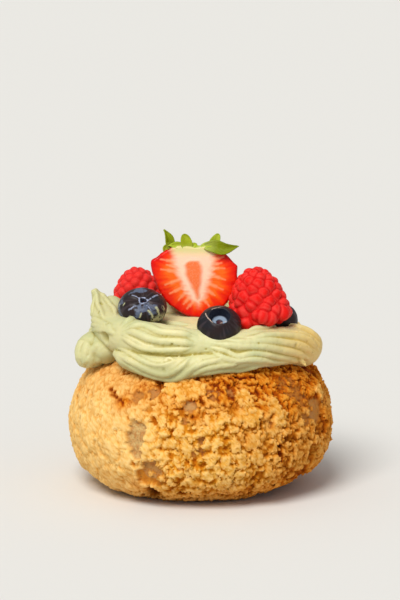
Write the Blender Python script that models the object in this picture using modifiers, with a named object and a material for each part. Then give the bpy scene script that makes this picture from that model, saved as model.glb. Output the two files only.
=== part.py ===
"""A cream puff: a craquelin choux bun, green tea cream piped over its top, and fresh fruit pressed into it.

Metres, +Z up. The origin is the middle of the flat spot that the bun rests on, and -Y is the front.
Every food is one closed solid, and neighbours keep a hair's gap.
"""
import math

import bmesh
import bpy
from mathutils import Matrix, Vector, noise

MM = 0.001
GAP = 0.45 * MM             # between a fruit, or the bun, and the cream it is pressed into

# The bun: a squat dome over a rounder underside, cut flat where it stood on the baking tray
BUN_RADIUS = 41.9 * MM
BUN_WAIST_Z = 20.4 * MM     # height of the widest ring
BUN_DOME = 27.6 * MM        # from the waist up to the top
BUN_KEEL = 22.1 * MM        # from the waist down to the tip that the tray flattens
DOME_POWER = 2.35           # 2 is an ellipse, more is squarer
KEEL_POWER = 2.75
KEEL_SHIFT = -2.9 * MM      # the flat spot sits a little to the left of the dome
KEEL_SHIFT_POWER = 4        # higher keeps the shift closer to the flat spot
BUN_SUBDIVISIONS = 5        # of the icosphere that it starts from

# The craquelin crust: crumbs in clusters, with smoother bare dough between
CRUMB_SIZE = 4.2 * MM
CLUSTER_SIZE = 13.0 * MM
CRUMB_HEIGHT = 3.0 * MM
CLUSTER_HEIGHT = 0.8 * MM
CRUST_TOP_Z = 43.0 * MM     # the crust is flat above this, under the cream
CRUST_FADE = 3.0 * MM
CRUST_FOOT_Z = -0.4 * MM    # and below this, where it stood on the tray
CRUST_FOOT_FADE = 2.4 * MM
# Where thicker flakes lie: middle, reach and height, in mm
FLAKES = [((-3.2, -34.5, 39.0), 5.5, 1.0), ((13.0, -34.0, 36.5), 4.5, 0.7)]
BARE_DOUGH = [              # where the crust tore and smooth dough shows: middle, reach and depth, in mm
    ((-20.8, -37.1, 24.5), 5.5, 0.9), ((-16.0, -38.0, 12.5), 5.5, 1.0), ((-18.0, -32.5, 36.6), 5.0, 0.7),
    ((-3.3, -38.0, 34.0), 4.0, 0.6), ((28.5, -23.0, 35.0), 7.0, 0.6), ((36.5, -18.0, 27.0), 7.0, 0.7),
    ((-15.2, -30.5, 4.4), 3.6, 2.2), ((24.0, 31.0, 30.0), 8.0, 0.7), ((-33.0, 18.0, 16.0), 6.0, 0.9),
]
BED_CLEARANCE = 0.9 * MM    # how far the crumbs reach into the cream's underside

# The cream: a mound, and star-tip ropes laid over the shoulder of the bun
# Middle and radii in mm: the bed, the hump that the strawberry leans on, and a shoulder beside the peak
MOUNDS = [
    ((-2.0, 3.0, 45.0), (29.0, 27.0, 11.0)),
    ((-6.0, 11.5, 50.0), (16.0, 9.5, 11.2)),
    ((-28.6, 1.0, 55.0), (4.4, 5.0, 5.8)),
]
ROPE_RIDGES = 12
RIDGE_DEPTH = 0.16          # of the rope's radius
ROPE_STEP = 4.9 * MM
MAIN_TWIST = 0.55           # turns of the star along a rope
LOWER_TWIST = 0.25

# Each rope's line: where its middle runs, and its radius there, in mm
MAIN_ROPE = [
    ((-33.8, 0.5, 63.6), 0.5), ((-32.8, 0.0, 59.8), 2.8), ((-30.2, -4.0, 53.8), 5.9),
    ((-25.0, -12.6, 51.2), 6.7), ((-16.5, -20.5, 50.8), 6.8), ((-7.0, -23.6, 50.8), 6.2),
    ((1.0, -24.0, 50.4), 5.2), ((10.0, -23.0, 49.5), 6.2), ((19.5, -18.5, 48.4), 7.0),
    ((27.4, -11.0, 47.1), 6.8), ((32.7, -1.5, 45.0), 6.8), ((31.0, 8.5, 43.9), 6.4),
    ((24.0, 19.5, 45.8), 6.5), ((13.0, 26.0, 47.6), 6.6), ((0.5, 28.2, 48.2), 6.8),
    ((-12.0, 26.0, 48.0), 6.8), ((-22.5, 19.5, 47.6), 6.6), ((-29.5, 9.5, 47.6), 6.0),
    ((-31.5, 2.0, 48.4), 4.6),
]
LOWER_ROPE = [
    ((-27.5, -16.8, 45.6), 2.4), ((-23.5, -21.6, 45.2), 3.2), ((-17.5, -26.0, 44.4), 3.9),
    ((-9.5, -29.0, 43.7), 4.3), ((-1.0, -29.2, 44.8), 3.9), ((8.0, -27.4, 45.8), 3.6),
    ((17.0, -23.4, 46.0), 3.6), ((25.0, -16.5, 45.2), 2.6),
]
TOOTH = [((29.6, -12.5, 45.2), 2.6), ((32.4, -13.6, 43.0), 1.6), ((34.0, -14.6, 41.2), 0.5)]
LOBE = [
    ((-29.5, 0.5, 46.6), 4.6), ((-33.2, -3.0, 45.2), 5.6), ((-35.4, -6.0, 43.6), 5.7),
    ((-37.2, -8.6, 42.0), 3.6),
]

# The half strawberry: its side profile as height above the tip and half width, in mm
STRAWBERRY_PROFILE = [
    (0.0, 0.0), (0.4, 2.2), (2.4, 5.5), (5.2, 8.7), (8.8, 11.2), (13.6, 13.2), (18.0, 13.8), (20.4, 12.2),
    (22.0, 9.2), (22.5, 6.6), (21.6, 4.0), (21.3, 0.0),
]
STRAWBERRY_PLACE = (-2.0 * MM, -3.6 * MM, 55.0 * MM)    # the tip, in the cut face
STRAWBERRY_LEAN = math.radians(12)
STRAWBERRY_SIDES = 28
STRAWBERRY_DEPTH = 0.86     # thickness behind the cut, of the half width

# Leaves of the strawberry's cap, in the half strawberry's own frame: foot, tip, width and curl in mm, and
# the side that the leaf turns its face to
STANDING = (0.0, -1.0, 0.25)
SLANTING = (0.0, -0.7, 0.7)
FLAT = (0.0, 0.3, 1.0)
LEAVES = [
    ((-3.0, 1.9, 22.9), (-9.8, 0.8, 27.7), 3.6, 0.8, STANDING),
    ((-1.3, 2.2, 22.6), (-3.5, 1.5, 26.3), 4.2, 0.4, STANDING),
    ((2.7, 2.6, 22.6), (7.5, 1.9, 26.3), 3.8, 0.6, STANDING),
    ((2.2, 1.4, 22.75), (14.2, -2.6, 22.8), 5.2, 0.8, SLANTING),
    ((-2.0, 3.2, 22.85), (-9.0, 9.6, 22.4), 4.4, 0.7, FLAT),
    ((2.0, 3.3, 22.95), (7.6, 10.4, 22.4), 4.2, 0.7, FLAT),
]
LEAF_THICKNESS = 0.6 * MM
LEAF_STEPS = (5, 2)         # along and across
LEAF_CUP = 0.5 * MM         # how far the edges of a leaf stand above its midrib
LEAF_WAVE = 0.25 * MM
CAP_RADII = (4.6, 2.3, 0.8) # of the collar that the leaves grow from
CAP_PLACE = (0.0, 2.6, 22.8)

# Fruit that is round about an axis: where its middle is, and the direction that its top points. A blueberry
# that is pressed is squat, by that share of its height.
RASPBERRY_RADIUS = 10.5 * MM
RASPBERRY_HEIGHT = 19.6 * MM
RASPBERRY_FOOT = 0.16       # the share of the height over which the foot rounds in
DRUPELETS = 84
DRUPELET_BULGE = 1.15 * MM      # from the creases up to the flat of a drupelet
DRUPELET_SHOULDER = 0.75 * MM   # from the crease in to that flat
DRUPELET_UNEVEN = 0.06
RASPBERRIES = {
    "raspberry_right": {"place": (17.9, -8.8, 62.5), "top": (-0.13, 0.10, 1.0), "size": 1.04, "turn": 0.2},
    "raspberry_left": {"place": (-19.9, 12.8, 59.2), "top": (0.10, -0.05, 1.0), "size": 0.93, "turn": 0.9},
}
BLUEBERRIES = {
    "blueberry_front": {
        "place": (5.8, -21.8, 56.5), "top": (0.02, -0.64, 0.77), "size": 1.02, "press": 0.92},
    "blueberry_left": {
        "place": (-18.6, -9.4, 59.5), "top": (0.04, -0.74, 0.67), "size": 1.14, "press": 0.82},
    "blueberry_right": {
        "place": (25.2, 7.6, 52.2), "top": (0.55, -0.30, 0.78), "size": 0.92, "press": 1.0},
}
# A blueberry's side: distance from its axis and height, in mm, from the crown's pit round to the far end
BLUEBERRY_PROFILE = [(0.0, 3.4), (1.5, 3.5), (2.0, 4.6), (2.8, 5.0), (4.6, 4.3), (6.2, 2.5), (6.9, 0.0),
                     (6.2, -2.7), (4.0, -4.6), (0.0, -5.4)]

# Base colours as they look in daylight, and how rough each surface is
LOOKS = {
    "craquelin_crust": ((0.86, 0.48, 0.16), 0.85),
    "green_tea_cream": ((0.76, 0.76, 0.44), 0.55),
    "strawberry_flesh": ((0.80, 0.06, 0.02), 0.30),
    "strawberry_leaf": ((0.22, 0.42, 0.06), 0.55),
    "raspberry_skin": ((0.72, 0.03, 0.03), 0.45),
    "blueberry_skin": ((0.03, 0.03, 0.06), 0.50),
}


def clear_scene():
    for obj in list(bpy.data.objects):
        bpy.data.objects.remove(obj, do_unlink=True)


def new_collection(name):
    collection = bpy.data.collections.new(name)
    bpy.context.scene.collection.children.link(collection)
    return collection


def material(name):
    colour, roughness = LOOKS[name]
    made = bpy.data.materials.get(name) or bpy.data.materials.new(name)
    made.use_nodes = True
    shader = made.node_tree.nodes["Principled BSDF"]
    shader.inputs["Base Color"].default_value = (*colour, 1.0)
    shader.inputs["Roughness"].default_value = roughness
    shader.inputs["Metallic"].default_value = 0.0
    return made


def mesh_object(name, mesh, collection):
    obj = bpy.data.objects.new(name, mesh)
    collection.objects.link(obj)
    return obj


def object_from_bmesh(name, bm, collection):
    mesh = bpy.data.meshes.new(name)
    bm.to_mesh(mesh)
    bm.free()
    return mesh_object(name, mesh, collection)


def as_mesh(obj, weld=0.01 * MM):
    """Turn a curve, or an object with modifiers, into a plain mesh, with its caps and seams welded."""
    bpy.context.view_layer.update()
    evaluated = obj.evaluated_get(bpy.context.evaluated_depsgraph_get())
    mesh = bpy.data.meshes.new_from_object(evaluated)
    solid = bpy.data.objects.new(obj.name + "_mesh", mesh)
    solid.matrix_world = obj.matrix_world.copy()
    for collection in obj.users_collection:
        collection.objects.link(solid)
    name = obj.name
    bpy.data.objects.remove(obj, do_unlink=True)
    solid.name = name
    bm = bmesh.new()
    bm.from_mesh(mesh)
    if weld:
        bmesh.ops.remove_doubles(bm, verts=bm.verts, dist=weld)
        bmesh.ops.recalc_face_normals(bm, faces=bm.faces)
    bm.to_mesh(mesh)
    bm.free()
    return solid


def drop_scraps(mesh):
    """Keep the largest of a mesh's separate bodies."""
    bm = bmesh.new()
    bm.from_mesh(mesh)
    waiting = set(bm.verts)
    bodies = []
    while waiting:
        front = [waiting.pop()]
        body = list(front)
        while front:
            vert = front.pop()
            for other in (edge.other_vert(vert) for edge in vert.link_edges):
                if other in waiting:
                    waiting.discard(other)
                    front.append(other)
                    body.append(other)
        bodies.append(body)
    bodies.sort(key=len)
    scraps = [vert for body in bodies[:-1] for vert in body]
    bmesh.ops.delete(bm, geom=scraps, context="VERTS")
    bm.to_mesh(mesh)
    bm.free()


def cut_into_triangles(mesh):
    """Triangles stay flat, so a Boolean on them leaves no bent faces."""
    bm = bmesh.new()
    bm.from_mesh(mesh)
    bmesh.ops.triangulate(bm, faces=bm.faces)
    bm.to_mesh(mesh)
    bm.free()


def combine(target, others, operation):
    """One Boolean on a collection of its own; the others are used up."""
    group = new_collection(target.name + "_" + operation.lower())
    for obj in [target] + others:
        cut_into_triangles(obj.data)
    for other in others:
        for collection in list(other.users_collection):
            collection.objects.unlink(other)
        group.objects.link(other)
    boolean = target.modifiers.new(operation.title(), "BOOLEAN")
    boolean.operation = operation
    boolean.solver = "MANIFOLD"
    boolean.operand_type = "COLLECTION"
    boolean.collection = group
    result = as_mesh(target, weld=None)
    drop_scraps(result.data)
    for other in list(group.objects):
        bpy.data.objects.remove(other, do_unlink=True)
    bpy.data.collections.remove(group)
    return result


def smooth_line(knots, step):
    """Catmull-Rom through (point, radius) knots in mm; returns (point, radius) samples in metres."""
    spots = [Vector((*place, radius)) * MM for place, radius in knots]
    spots = [2 * spots[0] - spots[1]] + spots + [2 * spots[-1] - spots[-2]]
    samples = []
    for a, b, c, d in zip(spots, spots[1:], spots[2:], spots[3:]):
        parts = max(1, round((c.xyz - b.xyz).length / step))
        for i in range(parts):
            t = i / parts
            samples.append(0.5 * (2 * b + (c - a) * t + (2 * a - 5 * b + 4 * c - d) * t ** 2
                                  + (3 * b - a - 3 * c + d) * t ** 3))
    samples.append(spots[-2])
    return [(spot.xyz, max(spot.w, 0.3 * MM)) for spot in samples]


def rope(name, knots, collection, twist=0.0, step=ROPE_STEP, ridges=ROPE_RIDGES):
    """Cream squeezed through a star nozzle: a star section swept along a line that swells and pinches."""
    star = bpy.data.curves.new(name + "_star", "CURVE")
    outline = star.splines.new("POLY")
    outline.points.add(2 * ridges - 1)
    outline.use_cyclic_u = True
    for i, point in enumerate(outline.points):
        angle = math.pi * i / ridges
        reach = 1.0 if i % 2 == 0 else 1.0 - RIDGE_DEPTH
        point.co = (reach * math.cos(angle), reach * math.sin(angle), 0.0, 1.0)
    nozzle = mesh_object(name + "_nozzle", star, collection)

    line = bpy.data.curves.new(name, "CURVE")
    line.dimensions = "3D"
    line.bevel_mode = "OBJECT"
    line.bevel_object = nozzle
    line.use_fill_caps = True
    samples = smooth_line(knots, step)
    path = line.splines.new("POLY")
    path.points.add(len(samples) - 1)
    for i, (point, (place, radius)) in enumerate(zip(path.points, samples)):
        point.co = (*place, 1.0)
        point.radius = radius
        point.tilt = 2 * math.pi * twist * i / len(samples)
    solid = as_mesh(mesh_object(name, line, collection))
    bpy.data.objects.remove(nozzle, do_unlink=True)
    return solid


def turned(name, profile, steps, collection):
    """Turn a side profile, given as (distance from the axis, height) in mm, about +Z."""
    mesh = bpy.data.meshes.new(name)
    points = [(reach * MM, 0.0, height * MM) for reach, height in profile]
    mesh.from_pydata(points, [(i, i + 1) for i in range(len(points) - 1)], [])
    obj = mesh_object(name, mesh, collection)
    screw = obj.modifiers.new("Turn", "SCREW")
    screw.steps = steps
    screw.render_steps = steps
    screw.use_merge_vertices = True
    screw.merge_threshold = 0.01 * MM
    return as_mesh(obj)


def place_along(obj, place, top, size, press=1.0):
    """Stand a fruit made about +Z so that its top points along top, and bake that into its mesh."""
    up = Vector((0.0, 0.0, 1.0))
    turn = up.rotation_difference(Vector(top)).to_matrix().to_4x4() @ Matrix.Scale(size, 4)
    obj.data.transform(Matrix.Translation(Vector(place) * MM) @ Matrix.Scale(press, 4, up) @ turn)


def mound(name, centre, radii, collection, subdivisions=3):
    """An egg with its middle and radii in mm."""
    bm = bmesh.new()
    bmesh.ops.create_icosphere(bm, subdivisions=subdivisions, radius=MM)
    bmesh.ops.scale(bm, vec=radii, verts=bm.verts)
    bmesh.ops.translate(bm, vec=Vector(centre) * MM, verts=bm.verts)
    return object_from_bmesh(name, bm, collection)


def bun_radius(direction):
    """Distance from the middle of the waist to the smooth bun, in a unit direction."""
    across = math.hypot(direction.x, direction.y) / BUN_RADIUS
    if direction.z > 0:
        along, power = direction.z / BUN_DOME, DOME_POWER
    else:
        along, power = -direction.z / BUN_KEEL, KEEL_POWER
    return (across ** power + along ** power) ** (-1 / power)


def settle(spot):
    """Move the underside to the side that the bun leans to."""
    below = min(1.0, max(0.0, (BUN_WAIST_Z - spot.z) / BUN_WAIST_Z))
    return spot + Vector((KEEL_SHIFT * below ** KEEL_SHIFT_POWER, 0.0, 0.0))


def crust_shown(z):
    """1 where the craquelin crust shows, falling to 0 under the cream and on the flat spot."""
    return min(1.0, max(0.0, min((CRUST_TOP_Z - z) / CRUST_FADE, (z - CRUST_FOOT_Z) / CRUST_FOOT_FADE)))


def nearness(spot, middle, reach):
    """1 at a mark's middle, easing to 0 at its reach."""
    share = max(0.0, 1.0 - (spot / MM - Vector(middle)).length / reach)
    return share * share * (3 - 2 * share)


def crust_relief(spot):
    """Height of the crust over the smooth bun: domed crumbs, thicker in clusters, flakes and bare dough."""
    crumb = 1.0 - noise.voronoi(spot / CRUMB_SIZE)[0][0]
    cluster = noise.noise(spot / CLUSTER_SIZE)
    height = CRUMB_HEIGHT * (crumb - 0.55) * (0.7 + 0.6 * cluster) + CLUSTER_HEIGHT * cluster
    for middle, reach, rise in FLAKES:
        height += rise * MM * nearness(spot, middle, reach)
    for middle, reach, depth in BARE_DOUGH:
        bare = nearness(spot, middle, reach)
        height = height * (1.0 - bare) - depth * MM * bare
    return height


def make_bun(collection):
    bm = bmesh.new()
    bmesh.ops.create_icosphere(bm, subdivisions=BUN_SUBDIVISIONS, radius=1.0)
    waist = Vector((0.0, 0.0, BUN_WAIST_Z))
    for vert in bm.verts:
        direction = vert.co.normalized()
        smooth = waist + direction * bun_radius(direction)
        vert.co = settle(smooth + direction * crust_relief(smooth) * crust_shown(smooth.z))
    everything = bm.verts[:] + bm.edges[:] + bm.faces[:]
    cut = bmesh.ops.bisect_plane(bm, geom=everything, dist=0.01 * MM, plane_co=(0, 0, 0), plane_no=(0, 0, 1),
                                 clear_inner=True)
    rim = [edge for edge in cut["geom_cut"] if isinstance(edge, bmesh.types.BMEdge)]
    bmesh.ops.contextual_create(bm, geom=rim)
    bmesh.ops.recalc_face_normals(bm, faces=bm.faces)
    bun = object_from_bmesh("choux_bun", bm, collection)
    bun.data.materials.append(material("craquelin_crust"))
    return bun


def bun_cutter(collection):
    """The smooth bun grown by a gap, and by the crust's height where that shows: it hollows the cream."""
    bm = bmesh.new()
    bmesh.ops.create_icosphere(bm, subdivisions=4, radius=1.0)
    waist = Vector((0.0, 0.0, BUN_WAIST_Z))
    for vert in bm.verts:
        direction = vert.co.normalized()
        reach = bun_radius(direction)
        height = BUN_WAIST_Z + direction.z * reach
        vert.co = waist + direction * (reach + GAP + BED_CLEARANCE * crust_shown(height - 1.0 * MM))
    return object_from_bmesh("bun_cutter", bm, collection)


def grown_hull(obj, collection):
    """A simple skin all round a fruit, a gap larger: it presses the fruit's bed into the cream."""
    shell = bmesh.new()
    for vert in obj.data.vertices:
        shell.verts.new(vert.co)
    bmesh.ops.convex_hull(shell, input=shell.verts)
    inner = [vert for vert in shell.verts if not vert.link_faces]
    bmesh.ops.delete(shell, geom=inner, context="VERTS")
    bmesh.ops.recalc_face_normals(shell, faces=shell.faces)
    shell.normal_update()
    for vert, normal in [(vert, vert.normal.copy()) for vert in shell.verts]:
        vert.co += normal * GAP
    return object_from_bmesh(obj.name + "_bed", shell, collection)


def make_cream(parts, cutters, fruit):
    cream = mound("cream", *MOUNDS[0], parts)
    ropes = [mound("hump", *MOUNDS[1], cutters), mound("shoulder", *MOUNDS[2], cutters, subdivisions=2),
             rope("main_rope", MAIN_ROPE, cutters, twist=MAIN_TWIST),
             rope("lower_rope", LOWER_ROPE, cutters, twist=LOWER_TWIST),
             rope("lobe", LOBE, cutters, step=3.0 * MM, ridges=8),
             rope("tooth", TOOTH, cutters, step=2.5 * MM, ridges=5)]
    cream = combine(cream, ropes, "UNION")
    beds = [bun_cutter(cutters)] + [grown_hull(piece, cutters) for piece in fruit]
    cream = combine(cream, beds, "DIFFERENCE")
    cream.data.materials.clear()
    cream.data.materials.append(material("green_tea_cream"))
    return cream


def make_strawberry(collection):
    """A turned berry, thinner front to back, cut lengthwise and leaning back on the cream."""
    side = [(reach, height) for height, reach in STRAWBERRY_PROFILE]
    berry = turned("strawberry_half", side, STRAWBERRY_SIDES, collection)
    bm = bmesh.new()
    bm.from_mesh(berry.data)
    bmesh.ops.scale(bm, vec=(1.0, STRAWBERRY_DEPTH, 1.0), verts=bm.verts)
    everything = bm.verts[:] + bm.edges[:] + bm.faces[:]
    cut = bmesh.ops.bisect_plane(bm, geom=everything, dist=0.01 * MM, plane_co=(0, 0, 0), plane_no=(0, 1, 0),
                                 clear_inner=True)
    rim = [edge for edge in cut["geom_cut"] if isinstance(edge, bmesh.types.BMEdge)]
    bmesh.ops.contextual_create(bm, geom=rim)
    bmesh.ops.recalc_face_normals(bm, faces=bm.faces)
    bmesh.ops.transform(bm, matrix=strawberry_frame(), verts=bm.verts)
    bm.to_mesh(berry.data)
    bm.free()
    berry.data.materials.append(material("strawberry_flesh"))
    return berry


def strawberry_frame():
    return Matrix.Translation(STRAWBERRY_PLACE) @ Matrix.Rotation(-STRAWBERRY_LEAN, 4, "X")


def make_leaf(number, foot, tip, width, curl, facing, collection):
    """A pointed leaf: a bent strip of triangles, given its thickness by Solidify."""
    foot, tip = Vector(foot) * MM, Vector(tip) * MM
    along = tip - foot
    side = along.cross(Vector(facing)).normalized()
    normal = side.cross(along).normalized()
    bm = bmesh.new()
    rows, columns = LEAF_STEPS
    bmesh.ops.create_grid(bm, x_segments=rows, y_segments=columns, size=1.0)
    for vert in bm.verts:
        u, v = (vert.co.x + 1) / 2, vert.co.y
        oval = 0.12 + 0.88 * math.sin(math.pi * u ** 0.8) ** 0.8
        half_width = width / 2 * MM * oval * (1.0 - 0.6 * u ** 4)
        wave = LEAF_WAVE * math.sin(9.0 * u + 2.0 * v)
        lift = curl * MM * math.sin(math.pi * u) + LEAF_CUP * v * v + wave
        vert.co = foot + along * u + side * (v * half_width) + normal * lift
    bmesh.ops.triangulate(bm, faces=bm.faces)
    leaf = object_from_bmesh("leaf_%d" % number, bm, collection)
    solidify = leaf.modifiers.new("Thickness", "SOLIDIFY")
    solidify.thickness = LEAF_THICKNESS
    solidify.offset = 0.0
    return as_mesh(leaf)


def make_cap(parts, cutters):
    cap = mound("strawberry_cap", CAP_PLACE, CAP_RADII, parts, subdivisions=2)
    leaves = [make_leaf(i, *leaf, cutters) for i, leaf in enumerate(LEAVES)]
    cap = combine(cap, leaves, "UNION")
    cap.data.transform(strawberry_frame())
    cap.data.materials.clear()
    cap.data.materials.append(material("strawberry_leaf"))
    return cap


def raspberry_side(height):
    """Half width of the raspberry, drupelets and all, at a height from 0 to 1: a tall dome."""
    foot = min(1.0, (height / RASPBERRY_FOOT) ** 0.5) if height < RASPBERRY_FOOT else 1.0
    return RASPBERRY_RADIUS * math.sqrt(1.0 - height ** 2) * foot


def on_raspberry(direction):
    """The point of the berry's skin that a unit direction stands for."""
    height = min(0.9999, max(0.0001, (direction.z + 1) / 2))
    flat = Vector((direction.x, direction.y, 0.0))
    around = flat.normalized() if flat.length > 1e-6 else flat
    return around * raspberry_side(height) + Vector((0.0, 0.0, (height - 0.5) * RASPBERRY_HEIGHT))


def golden_ball(count, turn):
    """A ball whose faces are count cells of like size, one round each point of a golden-angle spiral."""
    golden = math.pi * (3 - math.sqrt(5))
    bm = bmesh.new()
    for i in range(count):
        z = 1 - (2 * i + 1) / count
        reach = math.sqrt(1 - z * z)
        angle = golden * i + turn
        bm.verts.new((reach * math.cos(angle), reach * math.sin(angle), z))
    bmesh.ops.convex_hull(bm, input=bm.verts)
    long_edges = list(bm.edges)
    bmesh.ops.poke(bm, faces=bm.faces)
    bmesh.ops.dissolve_edges(bm, edges=long_edges)
    bmesh.ops.triangulate(bm, faces=bm.faces, quad_method="SHORT_EDGE")
    points = [vert for vert in bm.verts if vert.co.length > 0.9999]
    bmesh.ops.dissolve_verts(bm, verts=points)
    return bm


def make_raspberry(name, spec, collection):
    """Each cell of the ball becomes a drupelet: a bulging facet with creases round it."""
    bm = golden_ball(DRUPELETS, spec["turn"])
    for vert in bm.verts:
        spot = on_raspberry(vert.co.normalized())
        uneven = 1.0 + DRUPELET_UNEVEN * noise.noise(spot / (3 * MM))
        vert.co = spot * uneven * (1.0 - DRUPELET_BULGE / RASPBERRY_RADIUS)
    bmesh.ops.recalc_face_normals(bm, faces=bm.faces)
    bmesh.ops.inset_individual(bm, faces=bm.faces, thickness=DRUPELET_SHOULDER, depth=DRUPELET_BULGE)
    bmesh.ops.triangulate(bm, faces=bm.faces)
    berry = object_from_bmesh(name, bm, collection)
    place_along(berry, spec["place"], spec["top"], spec["size"])
    berry.data.materials.append(material("raspberry_skin"))
    return berry


def make_blueberry(name, spec, collection):
    berry = turned(name, BLUEBERRY_PROFILE, 18, collection)
    place_along(berry, spec["place"], spec["top"], spec["size"], spec["press"])
    berry.data.materials.append(material("blueberry_skin"))
    return berry


def main():
    clear_scene()
    parts = new_collection("cream_puff")
    cutters = new_collection("cutters")
    make_bun(parts)
    fruit = [make_strawberry(parts)]
    fruit += [make_raspberry(name, spec, parts) for name, spec in RASPBERRIES.items()]
    fruit += [make_blueberry(name, spec, parts) for name, spec in BLUEBERRIES.items()]
    make_cap(parts, cutters)
    make_cream(parts, cutters, fruit)


main()
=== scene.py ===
# %% [markdown]
# # A cream puff, from plain solids to something to eat
#
# The frame holds nine plain solids: a choux bun, the cream piped on it, half a strawberry with its leaves,
# two raspberries and three blueberries. This lesson models each of them again as the eye sees it, in the
# same place and at the same size, and then gives each its finish. Everything is in metres, with the front
# at -Y.

# %% Load the frame
import math
import random

import bpy
import numpy as np
from mathutils import Matrix, Vector, noise
from mathutils.bvhtree import BVHTree


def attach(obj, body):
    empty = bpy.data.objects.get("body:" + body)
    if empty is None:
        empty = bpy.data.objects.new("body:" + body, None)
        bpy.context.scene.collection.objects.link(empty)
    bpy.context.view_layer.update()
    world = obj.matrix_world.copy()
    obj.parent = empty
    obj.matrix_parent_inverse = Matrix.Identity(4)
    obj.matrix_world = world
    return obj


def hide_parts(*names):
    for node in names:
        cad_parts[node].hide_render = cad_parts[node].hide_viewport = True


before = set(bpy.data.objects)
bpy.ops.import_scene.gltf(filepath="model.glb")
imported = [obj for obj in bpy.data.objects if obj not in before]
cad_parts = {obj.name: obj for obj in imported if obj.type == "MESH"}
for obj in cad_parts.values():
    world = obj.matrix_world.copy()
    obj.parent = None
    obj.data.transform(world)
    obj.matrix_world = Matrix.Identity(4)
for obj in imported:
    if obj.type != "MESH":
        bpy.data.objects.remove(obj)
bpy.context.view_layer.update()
BODY = "root"
MM = 0.001
NOISE_SEED = 3
noise.seed_set(NOISE_SEED)      # otherwise vector noise starts from the clock, and no two runs are alike
print("nodes:", ", ".join(sorted(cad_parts)))

# %% [markdown]
# ## The camera
#
# The photograph looks at the bun from a little above, with a long lens, so upright lines stay parallel. The
# camera is worked out from two facts: 3.125 pixels show a millimetre, and the view slopes down by 12
# degrees. The same numbers give the line of sight through any pixel, which later lays the ridges of cream
# in place.

# %% Set the camera
PHOTO_SIZE = (400, 600)             # pixels
PIXELS_PER_MM = 3.125
CAMERA_SLOPE = math.radians(12)
CAMERA_DISTANCE = 1500 * MM
CAMERA_AIM = Vector((-0.3, 0.0, 59.9)) * MM
SENSOR_SIZE = 36.0                  # mm, along the picture's long side

LOOK = Vector((0.0, math.cos(CAMERA_SLOPE), -math.sin(CAMERA_SLOPE)))
UP = Vector((0.0, math.sin(CAMERA_SLOPE), math.cos(CAMERA_SLOPE)))
EYE = CAMERA_AIM - LOOK * CAMERA_DISTANCE


def new_object(name, data):
    """An object that holds this data, linked to the scene."""
    made = bpy.data.objects.new(name, data)
    bpy.context.scene.collection.objects.link(made)
    return made


def line_of_sight(x, y):
    """The direction from the camera through a pixel of the photograph."""
    across = (x - PHOTO_SIZE[0] / 2) / PIXELS_PER_MM * MM
    above = (PHOTO_SIZE[1] / 2 - y) / PIXELS_PER_MM * MM
    return (CAMERA_AIM + Vector((across, 0.0, 0.0)) + UP * above - EYE).normalized()


camera_data = bpy.data.cameras.new("camera")
camera_data.sensor_width = SENSOR_SIZE
camera_data.lens = SENSOR_SIZE * CAMERA_DISTANCE / (PHOTO_SIZE[1] / PIXELS_PER_MM * MM)
camera_data.clip_start = 0.1
camera = new_object("camera", camera_data)
camera.location = EYE
camera.rotation_euler = LOOK.to_track_quat("-Z", "Y").to_euler()
bpy.context.scene.camera = camera
print("lens in mm:", round(camera_data.lens, 1))

# %% [markdown]
# ## Small tools
#
# An operator acts on all that is selected, so every step first selects just what it works on. Parts that
# grow into one another are fused by a voxel remesh, which wraps them in one skin. A finished piece keeps
# its place in its mesh, rides on the body, and stands for the plain solid it was made from.

# %% Select, add, join, fuse and finish
def only(*objects):
    """Select these objects and nothing else; the first is the active one."""
    bpy.ops.object.select_all(action="DESELECT")
    for obj in objects:
        obj.select_set(True)
    bpy.context.view_layer.objects.active = objects[0]


def fresh(primitive, **settings):
    """Add a primitive with nothing else selected."""
    bpy.ops.object.select_all(action="DESELECT")
    primitive(**settings)
    return bpy.context.object


def join(objects):
    only(*objects)
    bpy.ops.object.join()
    return objects[0]


def fuse(obj, voxel, smoothing):
    """Wrap an object in one skin of squares, voxel millimetres wide, and line up rounds of smoothing."""
    only(obj)
    obj.data.remesh_voxel_size = voxel * MM
    bpy.ops.object.voxel_remesh()
    rounds = obj.modifiers.new("smooth", "SMOOTH")
    rounds.factor = 0.5
    rounds.iterations = smoothing


def apply_modifiers(obj):
    only(obj)
    for modifier in list(obj.modifiers):
        bpy.ops.object.modifier_apply(modifier=modifier.name)


def write_marks(obj, marks):
    """Write numbers for each point into the mesh, by name, where its material can read them."""
    for name, values in marks.items():
        attribute = obj.data.attributes.new(name, "FLOAT", "POINT")
        attribute.data.foreach_set("value", np.asarray(values, dtype=np.float32))


def finish_piece(obj, name, finish, nodes=(), sharp_above=None):
    """Name a piece, shade it smooth, give it its material, hang it on the body and hide the plain solids it
    stands for.
    """
    only(obj)
    bpy.ops.object.transform_apply(location=True, rotation=True, scale=True)
    obj.name = obj.data.name = name
    obj.data.materials.clear()
    obj.data.materials.append(finish)
    if sharp_above is None:
        bpy.ops.object.shade_smooth()
    else:
        bpy.ops.object.shade_smooth_by_angle(angle=math.radians(sharp_above))
    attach(obj, BODY)
    if nodes:
        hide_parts(*nodes)
    triangles = sum(len(face.vertices) - 2 for face in obj.data.polygons)
    box = [[round(corner[i] / MM, 1) for corner in obj.bound_box] for i in range(3)]
    print(name, triangles, "triangles, from", [min(side) for side in box], "to", [max(side) for side in box])

# %% Numbers that ease from one value to another
def ease(value, low, high):
    """0 up to low, 1 from high on, and a smooth rise between; a number or an array."""
    share = np.clip((value - low) / (high - low), 0.0, 1.0)
    return share * share * (3 - 2 * share)


def closeness(points, middle, reach):
    """1 at a mark's middle, easing to 0 at its reach; points is an array of places."""
    return 1.0 - ease(np.linalg.norm(points - np.array(middle), axis=1), 0.0, reach)


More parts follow.
